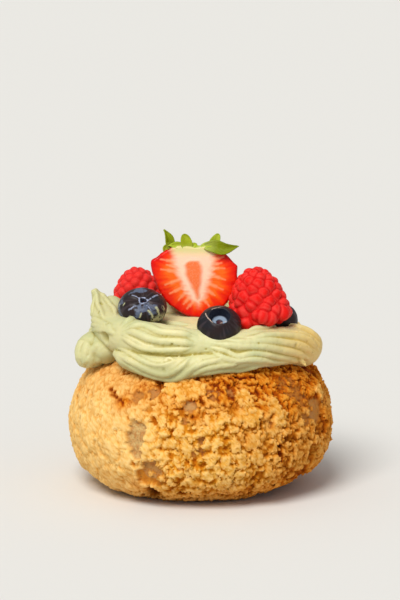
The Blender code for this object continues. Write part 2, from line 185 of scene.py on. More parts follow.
def along_line(points, start, end, half_width):
    """1 on a straight line, easing to 0 at its half width."""
    start, end = np.array(start), np.array(end)
    along = end - start
    share = np.clip((points - start) @ along / (along @ along), 0.0, 1.0)
    return 1.0 - ease(np.linalg.norm(points - start - share[:, None] * along, axis=1), 0.0, half_width)


def sample(rule, points):
    """One of Blender's noise rules at every place of an array."""
    return np.array([rule(point) for point in points.tolist()])


def cells(points, size):
    """Split space into cells: how far each point is from its cell's middle and from the next, and where
    that middle is."""
    found = [noise.voronoi(point) for point in (points / size).tolist()]
    near = np.array([distances[0] for distances, _ in found])
    second = np.array([distances[1] for distances, _ in found])
    return near, second, np.array([middles[0][:] for _, middles in found]) * size


def noisy(rule, points, *layers):
    """Noise at every place of an array, added up in layers of a strength and a size in mm."""
    return sum(strength * sample(rule, points / size) for strength, size in layers)


def smooth_line(knots, step):
    """Points a step apart on a smooth curve through the knots (Catmull-Rom)."""
    knots = [Vector(knot) for knot in knots]
    knots = [2 * knots[0] - knots[1]] + knots + [2 * knots[-1] - knots[-2]]
    points = []
    for a, b, c, d in zip(knots, knots[1:], knots[2:], knots[3:]):
        parts = max(1, round((c - b).length / step))
        for i in range(parts):
            t = i / parts
            points.append(0.5 * (2 * b + (c - a) * t + (2 * a - 5 * b + 4 * c - d) * t ** 2
                                 + (3 * b - a - 3 * c + d) * t ** 3))
    return points + [knots[-2]]


# %% Read and move the points of a mesh
def read_points(mesh, what="co"):
    """The place of each point, or with "normal" its normal, as an array."""
    values = np.empty(len(mesh.vertices) * 3)
    mesh.vertices.foreach_get(what, values)
    return values.reshape(-1, 3)


def write_points(mesh, places):
    mesh.vertices.foreach_set("co", places.ravel())
    mesh.update()


def push_out(mesh, shift):
    """Move each point along its normal by its own distance in mm."""
    write_points(mesh, read_points(mesh) + read_points(mesh, "normal") * shift[:, None] * MM)


def hollowness(mesh):
    """For each point, how deep it lies below its neighbours, as a share of their distance. Where this is
    high, the materials paint shade."""
    places, normals = read_points(mesh), read_points(mesh, "normal")
    ends = np.empty(len(mesh.edges) * 2, dtype=np.int64)
    mesh.edges.foreach_get("vertices", ends)
    first, second = ends[0::2], ends[1::2]
    steps = places[second] - places[first]
    lengths = np.linalg.norm(steps, axis=1)
    rise, reach = np.zeros((2, len(places)))
    for end, step in ((first, steps), (second, -steps)):
        np.add.at(rise, end, (step * normals[end]).sum(axis=1))
        np.add.at(reach, end, lengths)
    depth = rise / np.maximum(reach, 1e-9)
    for _ in range(2):
        total, near = depth.copy(), np.ones(len(places))
        for end, other in ((first, second), (second, first)):
            np.add.at(total, end, depth[other])
            np.add.at(near, end, 1)
        depth = total / near
    return depth

# %% [markdown]
# ## Materials, the common parts
#
# Colours are given as sRGB hex values, but a shader counts light, so one function turns them
# linear. Another adds a node with its settings and links, and hands back the output that the next node
# needs, so a material reads as a chain of named steps: noise and marks first, then colours laid over one
# another, then the shader. In a Mix node of colours, input 6 is the colour below, input 7 the one above,
# and output 2 the result.

# %% Colour and node helpers
def colour(hex_value):
    """An sRGB hex colour as linear RGBA."""
    parts = [int(hex_value[i:i + 2], 16) / 255 for i in (1, 3, 5)]
    return (*[part / 12.92 if part <= 0.04045 else ((part + 0.055) / 1.055) ** 2.4 for part in parts], 1.0)


def add(tree, kind, inputs=None, out=0, **settings):
    """Add a node with its settings and return one of its outputs. Inputs holds values by the input's name or
    number, and a value that is itself an output becomes a link."""
    node = tree.nodes.new(kind)
    for name, value in settings.items():
        setattr(node, name, value)
    for name, value in (inputs or {}).items():
        if isinstance(value, bpy.types.NodeSocket):
            tree.links.new(value, node.inputs[name])
        else:
            node.inputs[name].default_value = value
    return node.outputs[out] if len(node.outputs) else node


def new_material(name):
    """A material with an empty tree; returns both."""
    made = bpy.data.materials.new(name)
    made.use_nodes = True
    made.node_tree.nodes.clear()
    return made, made.node_tree


def give_surface(tree, inputs):
    """Close a material's tree with its shader."""
    add(tree, "ShaderNodeOutputMaterial", {"Surface": add(tree, "ShaderNodeBsdfPrincipled", inputs)})


def set_stops(ramp, *stops):
    """Give the colour ramp that has this output its stops, as (position, hex colour)."""
    elements = ramp.node.color_ramp.elements
    while len(elements) < len(stops):
        elements.new(1.0)
    for element, (position, hex_value) in zip(elements, stops):
        element.position = position
        element.color = colour(hex_value)
    return ramp

# %% [markdown]
# ## The bun
#
# A choux bun baked under a disc of craquelin, a sugary biscuit dough. As the bun swells, the disc cracks
# into crumbs and flakes, and smooth dough shows in the gaps. It starts as a sphere with most of its rings
# where the crust shows. Each point is moved out to a squat dome over a rounder underside, and then along
# that same line by the height of the crust there. A displace modifier could do the second step, but a rule
# in code can make each crumb whole or missing, and can also write down what it made, for the colours.

# %% Shape of the smooth bun
BUN_RADIUS = 41.9               # mm, as are all sizes of the bun
BUN_WAIST_Z = 20.4
BUN_DOME = 27.6
BUN_KEEL = 22.1
DOME_POWER = 2.35
KEEL_POWER = 2.75
KEEL_SHIFT = -2.9


def smooth_bun(directions):
    """The points of the smooth bun that lie in these directions from the middle of its waist."""
    across = np.hypot(directions[:, 0], directions[:, 1]) / BUN_RADIUS
    rising = directions[:, 2] > 0
    along = np.abs(directions[:, 2]) / np.where(rising, BUN_DOME, BUN_KEEL)
    power = np.where(rising, DOME_POWER, KEEL_POWER)
    reach = (across ** power + along ** power) ** (-1 / power)
    return directions * reach[:, None] + np.array((0.0, 0.0, BUN_WAIST_Z))


def settle(points):
    """Move the flat spot a little to the left, the side that the bun leans to."""
    below = np.clip((BUN_WAIST_Z - points[:, 2]) / BUN_WAIST_Z, 0.0, 1.0)
    return points + np.outer(below ** 4, (KEEL_SHIFT, 0.0, 0.0))


# %% Marks in the crust
# Where the crust tore and smooth dough shows: middle, reach, depth, how grey and how dark
BARE_DOUGH = [
    ((-20.8, -37.1, 26.4), 3.4, 1.0, 1.0, 0.0), ((-21.4, -37.0, 22.4), 3.4, 1.1, 1.0, 0.0),
    ((-21.0, -37.0, 18.4), 2.6, 1.0, 0.9, 0.0), ((-16.0, -38.0, 13.8), 3.2, 1.1, 0.6, 0.3),
    ((-13.6, -38.2, 10.4), 3.6, 0.8, 0.0, 0.1), ((-17.5, -37.0, 10.2), 3.4, 0.8, 0.0, 0.1),
    ((-20.4, -32.0, 36.4), 2.6, 0.5, 0.3, 0.45), ((-15.0, -33.0, 37.0), 2.0, 0.4, 0.5, 0.5),
    ((-3.3, -38.0, 34.0), 2.3, 0.6, 0.8, 0.35), ((3.7, -36.0, 37.6), 2.4, 0.5, 0.4, 0.75),
    ((10.1, -34.5, 37.7), 2.0, 0.5, 0.5, 0.7), ((-4.5, -40.5, 29.5), 1.6, 0.6, 0.3, 0.6),
    ((0.3, -42.3, 24.0), 1.6, 0.6, 0.3, 0.5), ((-1.0, -42.0, 19.4), 2.2, 0.7, 0.3, 0.7),
    ((28.2, -22.0, 36.2), 5.0, 0.4, 0.1, 0.8), ((31.0, -22.0, 32.0), 3.4, 0.4, 0.15, 0.75),
    ((36.5, -18.0, 27.5), 4.8, 0.6, 0.3, 0.35), ((38.6, -10.0, 29.3), 2.2, 0.5, 0.7, 0.4),
    ((33.0, -24.0, 26.0), 2.4, 0.5, 0.2, 0.5), ((21.8, -35.5, 27.5), 1.8, 0.9, 0.3, 0.8),
    ((24.0, 31.0, 30.0), 5.0, 0.6, 0.2, 0.7), ((28.0, 28.0, 27.0), 3.5, 0.6, 0.5, 0.5),
    ((-33.0, 18.0, 16.0), 4.2, 0.8, 0.8, 0.2), ((6.0, 40.0, 20.0), 3.4, 0.7, 0.5, 0.4),
    ((38.0, 14.0, 16.0), 3.6, 0.7, 0.2, 0.6),
]
# Where sugar ran and browned: middle, reach and how much darker
STAINS = [
    ((-25.0, -31.0, 33.5), 5.5, 0.8), ((-20.0, -31.0, 39.0), 5.0, 0.5), ((-2.5, -36.5, 35.5), 4.2, 0.8),
    ((-1.5, -39.5, 30.5), 4.0, 0.6), ((8.0, -35.0, 37.0), 6.0, 0.6), ((19.0, -33.0, 34.0), 6.0, 0.5),
    ((27.0, -29.0, 32.0), 5.0, 0.6), ((40.5, -10.0, 24.0), 6.5, 0.6), ((14.0, -39.0, 24.0), 5.0, 0.35),
    ((-20.0, -34.0, 7.0), 5.0, 0.5), ((-36.0, 20.0, 30.0), 7.0, 0.5), ((5.0, 40.0, 29.0), 7.0, 0.6),
]
# Cracks, painted dark inside as shadow where they are deepest: from, to, half width and depth
CRACKS = [
    ((-24.4, -32.5, 33.5), (-23.2, -34.5, 29.5), 1.5, 1.7),
    ((-14.9, -32.5, 6.2), (-13.4, -26.0, 0.4), 3.3, 5.0),
    ((-8.6, -33.5, 6.0), (-1.5, -35.0, 4.2), 0.9, 1.6),
    ((25.3, -33.5, 20.0), (25.8, -33.0, 14.5), 1.2, 1.6),
    ((-31.0, -20.0, 38.0), (-25.0, -32.0, 33.0), 1.8, 1.1),
    ((9.0, -30.0, 40.5), (17.0, -27.0, 40.5), 1.4, 1.2),
    ((12.0, -40.2, 13.0), (10.0, -38.0, 8.0), 0.9, 1.3),
    ((-29.0, 30.0, 26.0), (-22.0, 36.0, 19.0), 1.2, 1.5),
    ((20.0, 37.0, 12.0), (29.0, 31.0, 10.0), 1.0, 1.4), ((41.0, 4.0, 20.0), (40.0, 10.0, 12.0), 1.0, 1.4),
]
# Large flakes that stand up whole: middle, reach and height
FLAKES = [
    ((-5.0, -34.5, 39.0), 4.4, 0.8), ((-9.0, -33.5, 39.4), 3.4, 0.7), ((-1.5, -35.0, 38.6), 3.0, 0.8),
    ((16.0, -38.0, 31.0), 3.6, 0.5), ((14.0, -34.5, 36.0), 3.0, 0.6), ((22.5, -33.0, 34.0), 3.2, 0.5),
    ((26.0, -32.0, 29.0), 3.0, 0.5), ((-16.0, -38.0, 18.0), 3.6, 0.5), ((38.0, -12.0, 33.0), 3.2, 0.6),
]

# %% Relief of the crust
CRUMB_SIZE = 1.4
CLUSTER_SIZE = 4.8
PIT_SPACING = 3.4
CRUST_THICKNESS = 0.9
CRUST_BASE = 0.60               # how far bare dough lies under the smooth bun
CRUMB_STEP = 0.6                # from the lowest crumb to the highest
CLUSTER_STEP = 1.1
CREASE_DEPTH = 0.26             # between crumbs
SPLIT_DEPTH = 1.0               # between clusters
PIT_DEPTH = 0.9
# Cracks at least this deep get a painted shadow inside.
DEEPEST_CRACK = 4.5             # from this depth on a crack shows the dark inside
HIDDEN_ABOVE_Z = 44.0           # under the cream the crust is left smooth


def oven_marks(points):
    """How smooth and pale the crust is, and how brown it is, from baking and from painted shade, each from 0
    to 1.
    """
    x, y, z = points.T
    calm = ease(-x, 8.0, 26.0) * ease(-y, -30.0, -5.0)         # the left side
    at_top = 0.76 * ease(z, 25.0, 42.0) * (1.0 - 0.55 * calm)
    # Browner to the right: partly browning, partly painted shade on the side away from the sun.
    at_right = 0.55 * ease(x, 4.0, 34.0)
    # Darker towards the foot: painted shade.
    at_foot = 0.45 * ease(-z, -13.0, -1.0) * ease(x, -40.0, 0.0)
    baked_and_shaded = at_top + at_right + at_foot
    for place, reach, darker in STAINS:
        baked_and_shaded += darker * closeness(points, place, reach)
    return calm, np.minimum(1.0, baked_and_shaded)


def whole_flakes(middle):
    """1 for a crumb in a large flake, and how far that flake rises."""
    flat, lift = np.zeros((2, len(middle)))
    for place, reach, rise in FLAKES:
        flake = closeness(middle, place, reach * 1.6) > 0.3
        flat = np.maximum(flat, flake)
        lift = np.maximum(lift, rise * flake)
    return flat, lift


def bare_patches(ragged, middle, luck):
    """Where smooth dough shows, how deep it lies, and how grey and how dark it is."""
    bare, sunk, grey, dark = np.zeros((4, len(ragged)))
    for place, reach, depth, greyness, darkness in BARE_DOUGH:
        near_mark = closeness(0.65 * ragged + 0.35 * middle, place, reach * 1.45)
        bare = np.maximum(bare, ease(near_mark, 0.2, 0.42))
        sunk = np.maximum(sunk, depth * ease(near_mark, 0.05, 0.6))
        grey = np.maximum(grey, greyness * (near_mark > 0.05))
        dark = np.maximum(dark, darkness * (near_mark > 0.05))
    stuck = 0.78 - 0.24 * dark                                 # with more luck a crumb still sticks there
    return bare * (1.0 - 0.9 * ease(luck - stuck, -0.02, 0.02)), sunk, grey, dark


def crust_over(points):
    """The crust over points of the smooth bun: its height there, and what the material needs to know."""
    calm, baked_and_shaded = oven_marks(points)
    ragged = points + noisy(noise.noise_vector, points, (0.85, 1.9), (0.45, 0.8))
    near, second, middle = cells(ragged, CRUMB_SIZE)
    body = ease(second - near, 0.0, 0.30)                      # 0 in the crease round a crumb
    luck = sample(noise.noise, middle * 3.7) * 0.5 + 0.5
    patch = sample(lambda spot: noise.fractal(spot, 0.75, 2.1, 3), middle / 6.0)
    flat, lift = whole_flakes(middle)
    bare, sunk, grey, dark = bare_patches(ragged, middle, luck)
    cover = 0.54 - 0.26 * baked_and_shaded + 0.5 * calm + 1.05 * patch + 0.55 * (luck - 0.5) + 2.0 * flat
    whole = ease(cover, -0.05, 0.12) * (1.0 - bare)            # 0 where a crumb is missing
    baked_and_shaded *= 1.0 - 0.65 * flat
    rough = (1.0 - 0.62 * calm) * (1.0 - 0.5 * flat)

    wavy = points + noisy(noise.noise_vector, points, (1.7, 4.5), (1.2, 1.5))
    near, second, cluster = cells(wavy, CLUSTER_SIZE)
    split = 1.0 - ease(second - near, 0.0, 0.17)               # 1 in the cracks between clusters
    level = sample(noise.noise, cluster * 2.3)
    pits, _, _ = cells(points * (1.0, 1.0, 0.62) + (3.0, 7.0, 1.0), PIT_SPACING)

    steps = CRUMB_STEP * (luck - 0.5) + CLUSTER_STEP * level
    height = whole * (CRUST_THICKNESS + lift + steps * rough) - sunk
    height -= rough * (CREASE_DEPTH * (1.0 - body) * whole + SPLIT_DEPTH * split * (1.0 - bare))
    height += 0.25 * (0.5 - near) * (0.4 + 0.6 * whole)        # each cluster is a low dome
    height += noisy(noise.noise, points, (0.8, 9.0), (0.5, 19.0))
    height += 0.55 * calm * sample(noise.noise, points * (1.0, 1.0, 0.6) / 3.2)
    height += noisy(noise.noise, points, (0.22, 0.62), (0.22, 1.25)) * (1.0 - 0.45 * bare)
    height -= PIT_DEPTH * (0.35 + 0.65 * calm) * (1.0 - ease(pits, 0.07, 0.2)) * (1.0 - bare)
    # Deep cracks are marked for a painted shadow inside them.
    crack, deep_painted_shade = np.zeros((2, len(points)))
    for start, end, half_width, depth in CRACKS:
        mark = along_line(ragged, start, end, half_width)
        height -= depth * mark
        crack = np.maximum(crack, mark)
        deep_painted_shade = np.maximum(deep_painted_shade, mark * min(1.0, depth / DEEPEST_CRACK))

    # In the cracks the crumb mark drops below zero and the browning mark rises to full, as painted shade.
    crumb = whole * (0.45 + 0.55 * body) * (1.0 - 0.85 * split * rough) * (1.0 - 0.5 * (pits < 0.12))
    facts = {"crumb": crumb * (1.0 - crack) - 0.6 * crack, "baked_and_shaded": np.maximum(baked_and_shaded, crack), "bare": bare,
             "grey": grey, "dark": dark, "luck": luck, "calm": calm, "deep_painted_shade": deep_painted_shade}
    shown = 1.0 - ease(points[:, 2], HIDDEN_ABOVE_Z - 2.0, HIDDEN_ABOVE_Z)
    return (height - CRUST_BASE) * shown, facts

# %% Model the bun
BUN_SEGMENTS = 560
BUN_RINGS = 172
BELT_BOTTOM, BELT_TOP = math.radians(-74), math.radians(40)    # elevations between which crust shows
BELT_SHARE = 0.90                                              # of the rings


def crowd_rings(elevation):
    """Move most of a sphere's rings into the belt where the crust shows."""
    share = (elevation + math.pi / 2) / math.pi
    spare = (1.0 - BELT_SHARE) / 2
    moved = (-math.pi / 2, BELT_BOTTOM, BELT_TOP, math.pi / 2)
    return np.interp(share, (0.0, spare, 1.0 - spare, 1.0), moved)


def pointing(elevation, around):
    """Directions at these angles above the waist and round the bun."""
    level = np.cos(elevation)
    return np.stack((level * np.cos(around), level * np.sin(around), np.sin(elevation)), 1)


bun = fresh(bpy.ops.mesh.primitive_uv_sphere_add, segments=BUN_SEGMENTS, ring_count=BUN_RINGS, radius=1.0)
x, y, z = read_points(bun.data).T
outward = pointing(crowd_rings(np.arcsin(np.clip(z, -1.0, 1.0))), np.arctan2(y, x))
smooth = smooth_bun(outward)
height, facts = crust_over(smooth)
shaped = settle(smooth + outward * height[:, None])
shaped[:, 2] = np.maximum(0.0, shaped[:, 2])
write_points(bun.data, shaped * MM)
write_marks(bun, facts | {"hollow_shade": hollowness(bun.data)})
print("crust from", round(height.min(), 2), "to", round(height.max(), 2), "mm over the smooth bun")

# %% [markdown]
# ## Loose crumbs on the crust
#
# Craquelin breaks into angular grains about a millimetre wide. They are too sharp for the sphere's mesh, so
# one grain is modelled, a low ball of twenty faces, and thousands of copies are half sunk in the crust
# where it is whole. Each copy is stretched, turned and dented in its own way, and they are joined into one
# mesh.

# %% Scatter crumbs
CRUMB_LIMIT = 9400
CRUMB_TRIES = 3 * CRUMB_LIMIT
CRUMB_RADIUS = (0.32, 0.72)     # mm
CHUNK_SHARE = 0.05
CHUNK_RADIUS = (0.75, 1.0)
CRUMB_FLATNESS = 0.5
CRUMB_SUNK = 0.55               # of its radius
CRUMBS_Z = (1.2, 43.0)          # between the foot and the cream


def scattered(grain, middles, outward, radii, chance):
    """One mesh of many copies of a grain, each dented, stretched, turned and flattened on the surface."""
    corners = read_points(grain.data)
    corners /= np.linalg.norm(corners, axis=1).max()
    faces = np.array([face.vertices[:] for face in grain.data.polygons])
    count = len(middles)
    turns = np.linalg.qr(chance.normal(size=(count, 3, 3)))[0]
    shapes = corners[None] * chance.uniform(0.5, 1.3, (count, len(corners), 1))
    shapes = shapes * chance.uniform(0.6, 1.4, (count, 1, 3))
    shapes = np.einsum("nij,nkj->nki", turns, shapes)
    rise = np.einsum("nki,ni->nk", shapes, outward)
    shapes -= CRUMB_FLATNESS * rise[..., None] * outward[:, None, :]
    places = middles[:, None, :] + shapes * radii[:, None, None]
    mirrored = np.linalg.det(turns) < 0
    faces = np.where(mirrored[:, None, None], faces[None, :, ::-1], faces[None])
    faces = faces + (np.arange(count) * len(corners))[:, None, None]
    mesh = bpy.data.meshes.new("crumbs")
    mesh.from_pydata((places.reshape(-1, 3) * MM).tolist(), [], faces.reshape(-1, 3).tolist())
    return new_object("crumbs", mesh), rise


grain = fresh(bpy.ops.mesh.primitive_ico_sphere_add, subdivisions=1, radius=MM)
chance = np.random.default_rng(11)
around = chance.uniform(0.0, math.tau, CRUMB_TRIES)
elevation = np.arcsin(chance.uniform(math.sin(BELT_BOTTOM), math.sin(BELT_TOP), CRUMB_TRIES))
outward = pointing(elevation, around)
smooth = smooth_bun(outward)
height, facts = crust_over(smooth)
kept = (facts["crumb"] > 0.45) & (smooth[:, 2] > CRUMBS_Z[0]) & (smooth[:, 2] < CRUMBS_Z[1])
kept &= chance.uniform(0.0, 1.0, CRUMB_TRIES) > 0.85 * facts["calm"]
kept &= np.cumsum(kept) <= CRUMB_LIMIT
smooth, outward, height = smooth[kept], outward[kept], height[kept]
facts = {name: values[kept] for name, values in facts.items()}
count = len(height)
chunk = chance.uniform(0.0, 1.0, count) < CHUNK_SHARE * (1.0 - facts["calm"])
radii = np.where(chunk, chance.uniform(*CHUNK_RADIUS, count), chance.uniform(*CRUMB_RADIUS, count))
radii *= 1.0 - 0.35 * facts["calm"]
middles = settle(smooth + outward * (height - CRUMB_SUNK * radii)[:, None])
crumbs, rise = scattered(grain, middles, outward, radii, chance)
bpy.data.objects.remove(grain, do_unlink=True)
facts["luck"] = chance.uniform(0.0, 1.0, count)
write_marks(crumbs, {name: np.repeat(values, rise.shape[1]) for name, values in facts.items()})
# Each grain is painted lighter on top and darker at its foot: painted shade.
write_marks(crumbs, {"hollow_shade": (0.03 - 0.10 * rise).ravel()})
print("crumbs:", count)

# %% [markdown]
# ## Craquelin, baked butter and sugar crust
#
# Baked biscuit crumb is matte and grainy: pale gold on top of each crumb, orange down in the cracks where
# sugar browned, and redder at the top, where the oven was hottest, and on the right. On the right this is
# partly painted shade, and the darker colour at the foot, in the hollows and deep in the cracks is painted
# shade. The bare dough between is smoother, with a slight shine, from amber to grey. The crust's rule wrote
# these down point by point, so the material mixes its colours by those attributes, and noise at the size of
# sugar grains breaks them up.

# %% Material of the crust
GRAIN_SIZE = 0.45               # mm, coarse sugar
SPECK_SIZE = 0.9
MOTTLE_SIZE = 1.3               # of bare dough
BROWNING_SIZE = 6.0             # of the oven's uneven browning

baked_craquelin, tree = new_material("baked_craquelin")
place = add(tree, "ShaderNodeTexCoord", out="Object")
marks = {name: add(tree, "ShaderNodeAttribute", out="Fac", attribute_name=name)
         for name in ("crumb", "hollow_shade", "luck", "calm", "baked_and_shaded", "bare", "grey", "dark", "deep_painted_shade")}
grains = add(tree, "ShaderNodeTexNoise", {"Vector": place, "Scale": 1 / (GRAIN_SIZE * MM), "Detail": 3.0})
clouds = add(tree, "ShaderNodeTexNoise", {"Vector": place, "Scale": 1 / (BROWNING_SIZE * MM), "Detail": 4.0})
mottle = add(tree, "ShaderNodeTexNoise", {"Vector": place, "Scale": 1 / (MOTTLE_SIZE * MM), "Detail": 5.0,
                                          "Roughness": 0.65})
specks = add(tree, "ShaderNodeTexVoronoi", {"Vector": place, "Scale": 1 / (SPECK_SIZE * MM)})

# Painted shade: the tone drops by twice the hollowness. Between crumbs and in cracks the lower crumb mark is
# partly the browner dough there and partly painted shade.
tone = marks["crumb"]           # light on top of a crumb, dark in the cracks
for source, share in ((marks["hollow_shade"], -2.0), (marks["luck"], 0.34), (grains, 0.35)):
    tone = add(tree, "ShaderNodeMath", {0: source, 1: share, 2: tone}, operation="MULTIPLY_ADD")
tone = add(tree, "ShaderNodeMapRange", {"Value": tone, "From Min": 0.1, "From Max": 1.5})
gold = set_stops(add(tree, "ShaderNodeValToRGB", {"Fac": tone}),
                 (0.0, "#BA6406"), (0.3, "#DA8E1C"), (0.62, "#EAB04E"), (1.0, "#F4C676"))
brown = set_stops(add(tree, "ShaderNodeValToRGB", {"Fac": tone}),
                  (0.0, "#6C2200"), (0.3, "#A64A00"), (0.62, "#CA700A"), (1.0, "#E29632"))

paler = add(tree, "ShaderNodeMath", {0: marks["calm"], 1: tone}, operation="MULTIPLY")
paler = add(tree, "ShaderNodeMath", {0: paler, 1: 0.6}, operation="MULTIPLY")
baked_and_shaded = add(tree, "ShaderNodeMath", {0: clouds, 1: 0.5, 2: marks["baked_and_shaded"]}, operation="MULTIPLY_ADD")
baked_and_shaded = add(tree, "ShaderNodeMapRange", {"Value": baked_and_shaded, "From Min": 0.2, "From Max": 1.1})
uneven = add(tree, "ShaderNodeMapRange", {"Value": mottle, "From Min": 0.38, "From Max": 0.56,
                                          "To Min": 1.25, "To Max": 0.45})
singed = add(tree, "ShaderNodeMath", {0: marks["dark"], 1: uneven}, operation="MULTIPLY")
blotch = add(tree, "ShaderNodeMapRange", {"Value": mottle, "From Min": 0.42, "From Max": 0.6,
                                          "To Min": 0.0, "To Max": 0.6})
speck = add(tree, "ShaderNodeMapRange", {"Value": specks, "From Min": 0.16, "From Max": 0.34,
                                         "To Min": 0.4, "To Max": 0.0})
# Painted shadow: the deepest cracks go nearly black inside.
inside = add(tree, "ShaderNodeMapRange", {"Value": marks["deep_painted_shade"], "From Min": 0.25, "From Max": 0.8,
                                          "To Max": 0.92})

dough = colour("#DA902E")
for mask, hex_value in ((marks["grey"], "#CCAC70"), (singed, "#7C3404"), (blotch, "#A8580E"),
                        (speck, "#7A5A38")):
    dough = add(tree, "ShaderNodeMix", {"Factor": mask, 6: dough, 7: colour(hex_value)},
                out=2, data_type="RGBA")
skin = gold
for mask, above in ((paler, colour("#F6D492")), (baked_and_shaded, brown), (marks["bare"], dough),
                    (inside, colour("#3C1604"))):
    skin = add(tree, "ShaderNodeMix", {"Factor": mask, 6: skin, 7: above}, out=2, data_type="RGBA")
roughness = add(tree, "ShaderNodeMapRange", {"Value": marks["bare"], "To Min": 0.88, "To Max": 0.48})
bump = add(tree, "ShaderNodeBump", {"Height": grains, "Strength": 0.45, "Distance": 0.25 * MM})
give_surface(tree, {"Base Color": skin, "Normal": bump, "Roughness": roughness, "Specular IOR Level": 0.1})
finish_piece(bun, "bun_crust", baked_craquelin, ["choux_bun"])
finish_piece(crumbs, "crust_crumbs", baked_craquelin, sharp_above=30)

# %% [markdown]
# ## The cream: bed and ropes
#
# Whipped cream was spread over the top of the bun, and more was laid round it through a star nozzle. The
# soft masses come first: four spheres, flattened with a resize, are the bed, the hump that the strawberry
# leans on, a shoulder beside the peak and the thick place behind the lobe, and curves with a round section
# are the ropes. The rope at the back keeps the nozzle's star section. At the front the ridges were dragged
# about, so those are laid one by one in the next step.

# %% Bed and hump
# Place and three radii, in mm
BED = ((-2.0, 3.0, 45.0), (29.0, 27.0, 10.2))
HUMP = ((-6.0, 11.5, 50.0), (16.0, 9.5, 11.2))
SHOULDER = ((-28.4, 1.0, 55.0), (4.6, 5.0, 6.0))
BEHIND_LOBE = ((-30.2, -8.6, 46.0), (5.2, 5.0, 5.0))


def egg(place, radii):
    """A sphere set at its place and stretched to its three radii, in mm."""
    made = fresh(bpy.ops.mesh.primitive_uv_sphere_add, segments=64, ring_count=32, radius=MM)
    bpy.ops.object.mode_set(mode="EDIT")
    bpy.ops.transform.resize(value=radii)
    bpy.ops.transform.translate(value=Vector(place) * MM)
    bpy.ops.object.mode_set(mode="OBJECT")
    return made


masses = [egg(*shape) for shape in (BED, HUMP, SHOULDER, BEHIND_LOBE)]
print("eggs:", len(masses))

# %% Ropes of cream
ROPE_STEP = 0.8
STAR_RIDGES = 14
STAR_DEPTH = 0.17               # of the rope's radius


def section(ridges, depth):
    """The outline of a nozzle: round, or a star of rounded ridges with sharp valleys."""
    outline = bpy.data.curves.new("section", "CURVE")
    spline = outline.splines.new("POLY")
    count = 24 if ridges == 0 else 6 * ridges
    spline.points.add(count - 1)
    spline.use_cyclic_u = True
    for i, point in enumerate(spline.points):
        angle = math.tau * i / count
        reach = 1.0 - depth + depth * abs(math.cos(ridges * angle / 2))
        point.co = (reach * math.cos(angle), reach * math.sin(angle), 0.0, 1.0)
    return outline


def ropes(name, lines, ridges=0, depth=0.0, twist=0.0):
    """Curves through lines of (place, radius) in mm, skinned with one section and turned into a mesh."""
    nozzle = new_object("nozzle", section(ridges, depth))
    curve = bpy.data.curves.new(name, "CURVE")
    curve.dimensions = "3D"
    curve.bevel_mode = "OBJECT"
    curve.bevel_object = nozzle
    curve.use_fill_caps = True
    for line in lines:
        spline = curve.splines.new("POLY")
        spline.points.add(len(line) - 1)
        for i, (point, spot) in enumerate(zip(spline.points, line)):
            point.co = (*(spot.xyz * MM), 1.0)
            point.radius = max(0.05, spot.w) * MM
            point.tilt = math.tau * twist * i / len(line)
    made = new_object(name, curve)
    only(made)
    bpy.ops.object.convert(target="MESH")
    bpy.data.objects.remove(nozzle, do_unlink=True)
    return made


# Each knot is x, y, z and the rope's radius there, in mm
FRONT_ROPE = smooth_line([
    (-34.3, 0.4, 63.2, 0.9), (-33.1, 0.2, 60.6, 1.9), (-31.4, -2.4, 56.2, 3.8), (-28.8, -7.6, 52.6, 5.4),
    (-24.2, -13.6, 51.2, 6.1), (-16.5, -20.3, 50.8, 6.2), (-7.0, -23.4, 50.8, 5.6), (1.0, -23.8, 50.4, 4.7),
    (10.0, -22.8, 49.5, 5.6), (19.5, -18.3, 48.4, 6.2), (27.4, -11.0, 47.3, 6.1), (32.5, -3.0, 45.3, 6.3),
    (32.4, 5.0, 44.3, 5.2),
], ROPE_STEP)
BACK_ROPE = smooth_line([
    (27.6, -10.0, 46.4, 2.6), (31.6, -2.2, 45.0, 5.4), (31.4, 7.0, 44.0, 6.2), (29.8, 11.6, 43.7, 6.2),
    (24.0, 19.5, 45.6, 6.5), (13.0, 26.0, 47.6, 6.6), (0.5, 28.2, 48.2, 6.8), (-12.0, 26.0, 48.0, 6.8),
    (-22.5, 19.5, 47.6, 6.6), (-29.5, 9.5, 47.6, 6.0), (-31.5, 2.0, 48.4, 4.6),
], ROPE_STEP)
LOWER_ROPE = smooth_line([
    (-27.2, -16.8, 46.4, 1.2), (-23.5, -21.6, 45.2, 2.8), (-17.5, -26.0, 44.4, 3.5), (-9.5, -29.0, 43.7, 3.9),
    (-1.0, -29.2, 44.8, 3.5), (8.0, -27.4, 45.8, 3.3), (17.0, -23.4, 46.0, 3.3), (25.0, -16.5, 45.2, 2.4),
], ROPE_STEP)
LOBE = smooth_line([
    (-29.5, 0.5, 46.8, 4.6), (-32.6, -3.0, 45.8, 5.4), (-34.8, -6.2, 44.4, 5.8), (-36.2, -8.6, 43.0, 4.6),
    (-37.2, -10.4, 41.6, 2.4),
], ROPE_STEP)
masses += [ropes("front_ropes", [FRONT_ROPE, LOWER_ROPE, LOBE]),
           ropes("back_rope", [BACK_ROPE], STAR_RIDGES, STAR_DEPTH, twist=0.5)]
masses = join(masses)
print("soft masses:", len(masses.data.polygons), "faces")

# %% [markdown]
# ## The cream: ridges at the front
#
# Each ridge is drawn as a line of a few points on the photograph, in its pixels, where the eye sees the
# crest. The line of sight through each point meets the soft masses, and the crest lies just there, so every
# ridge rests on the cream seen from any side. A thin round rope along each line, half sunk, makes the
# ridge.

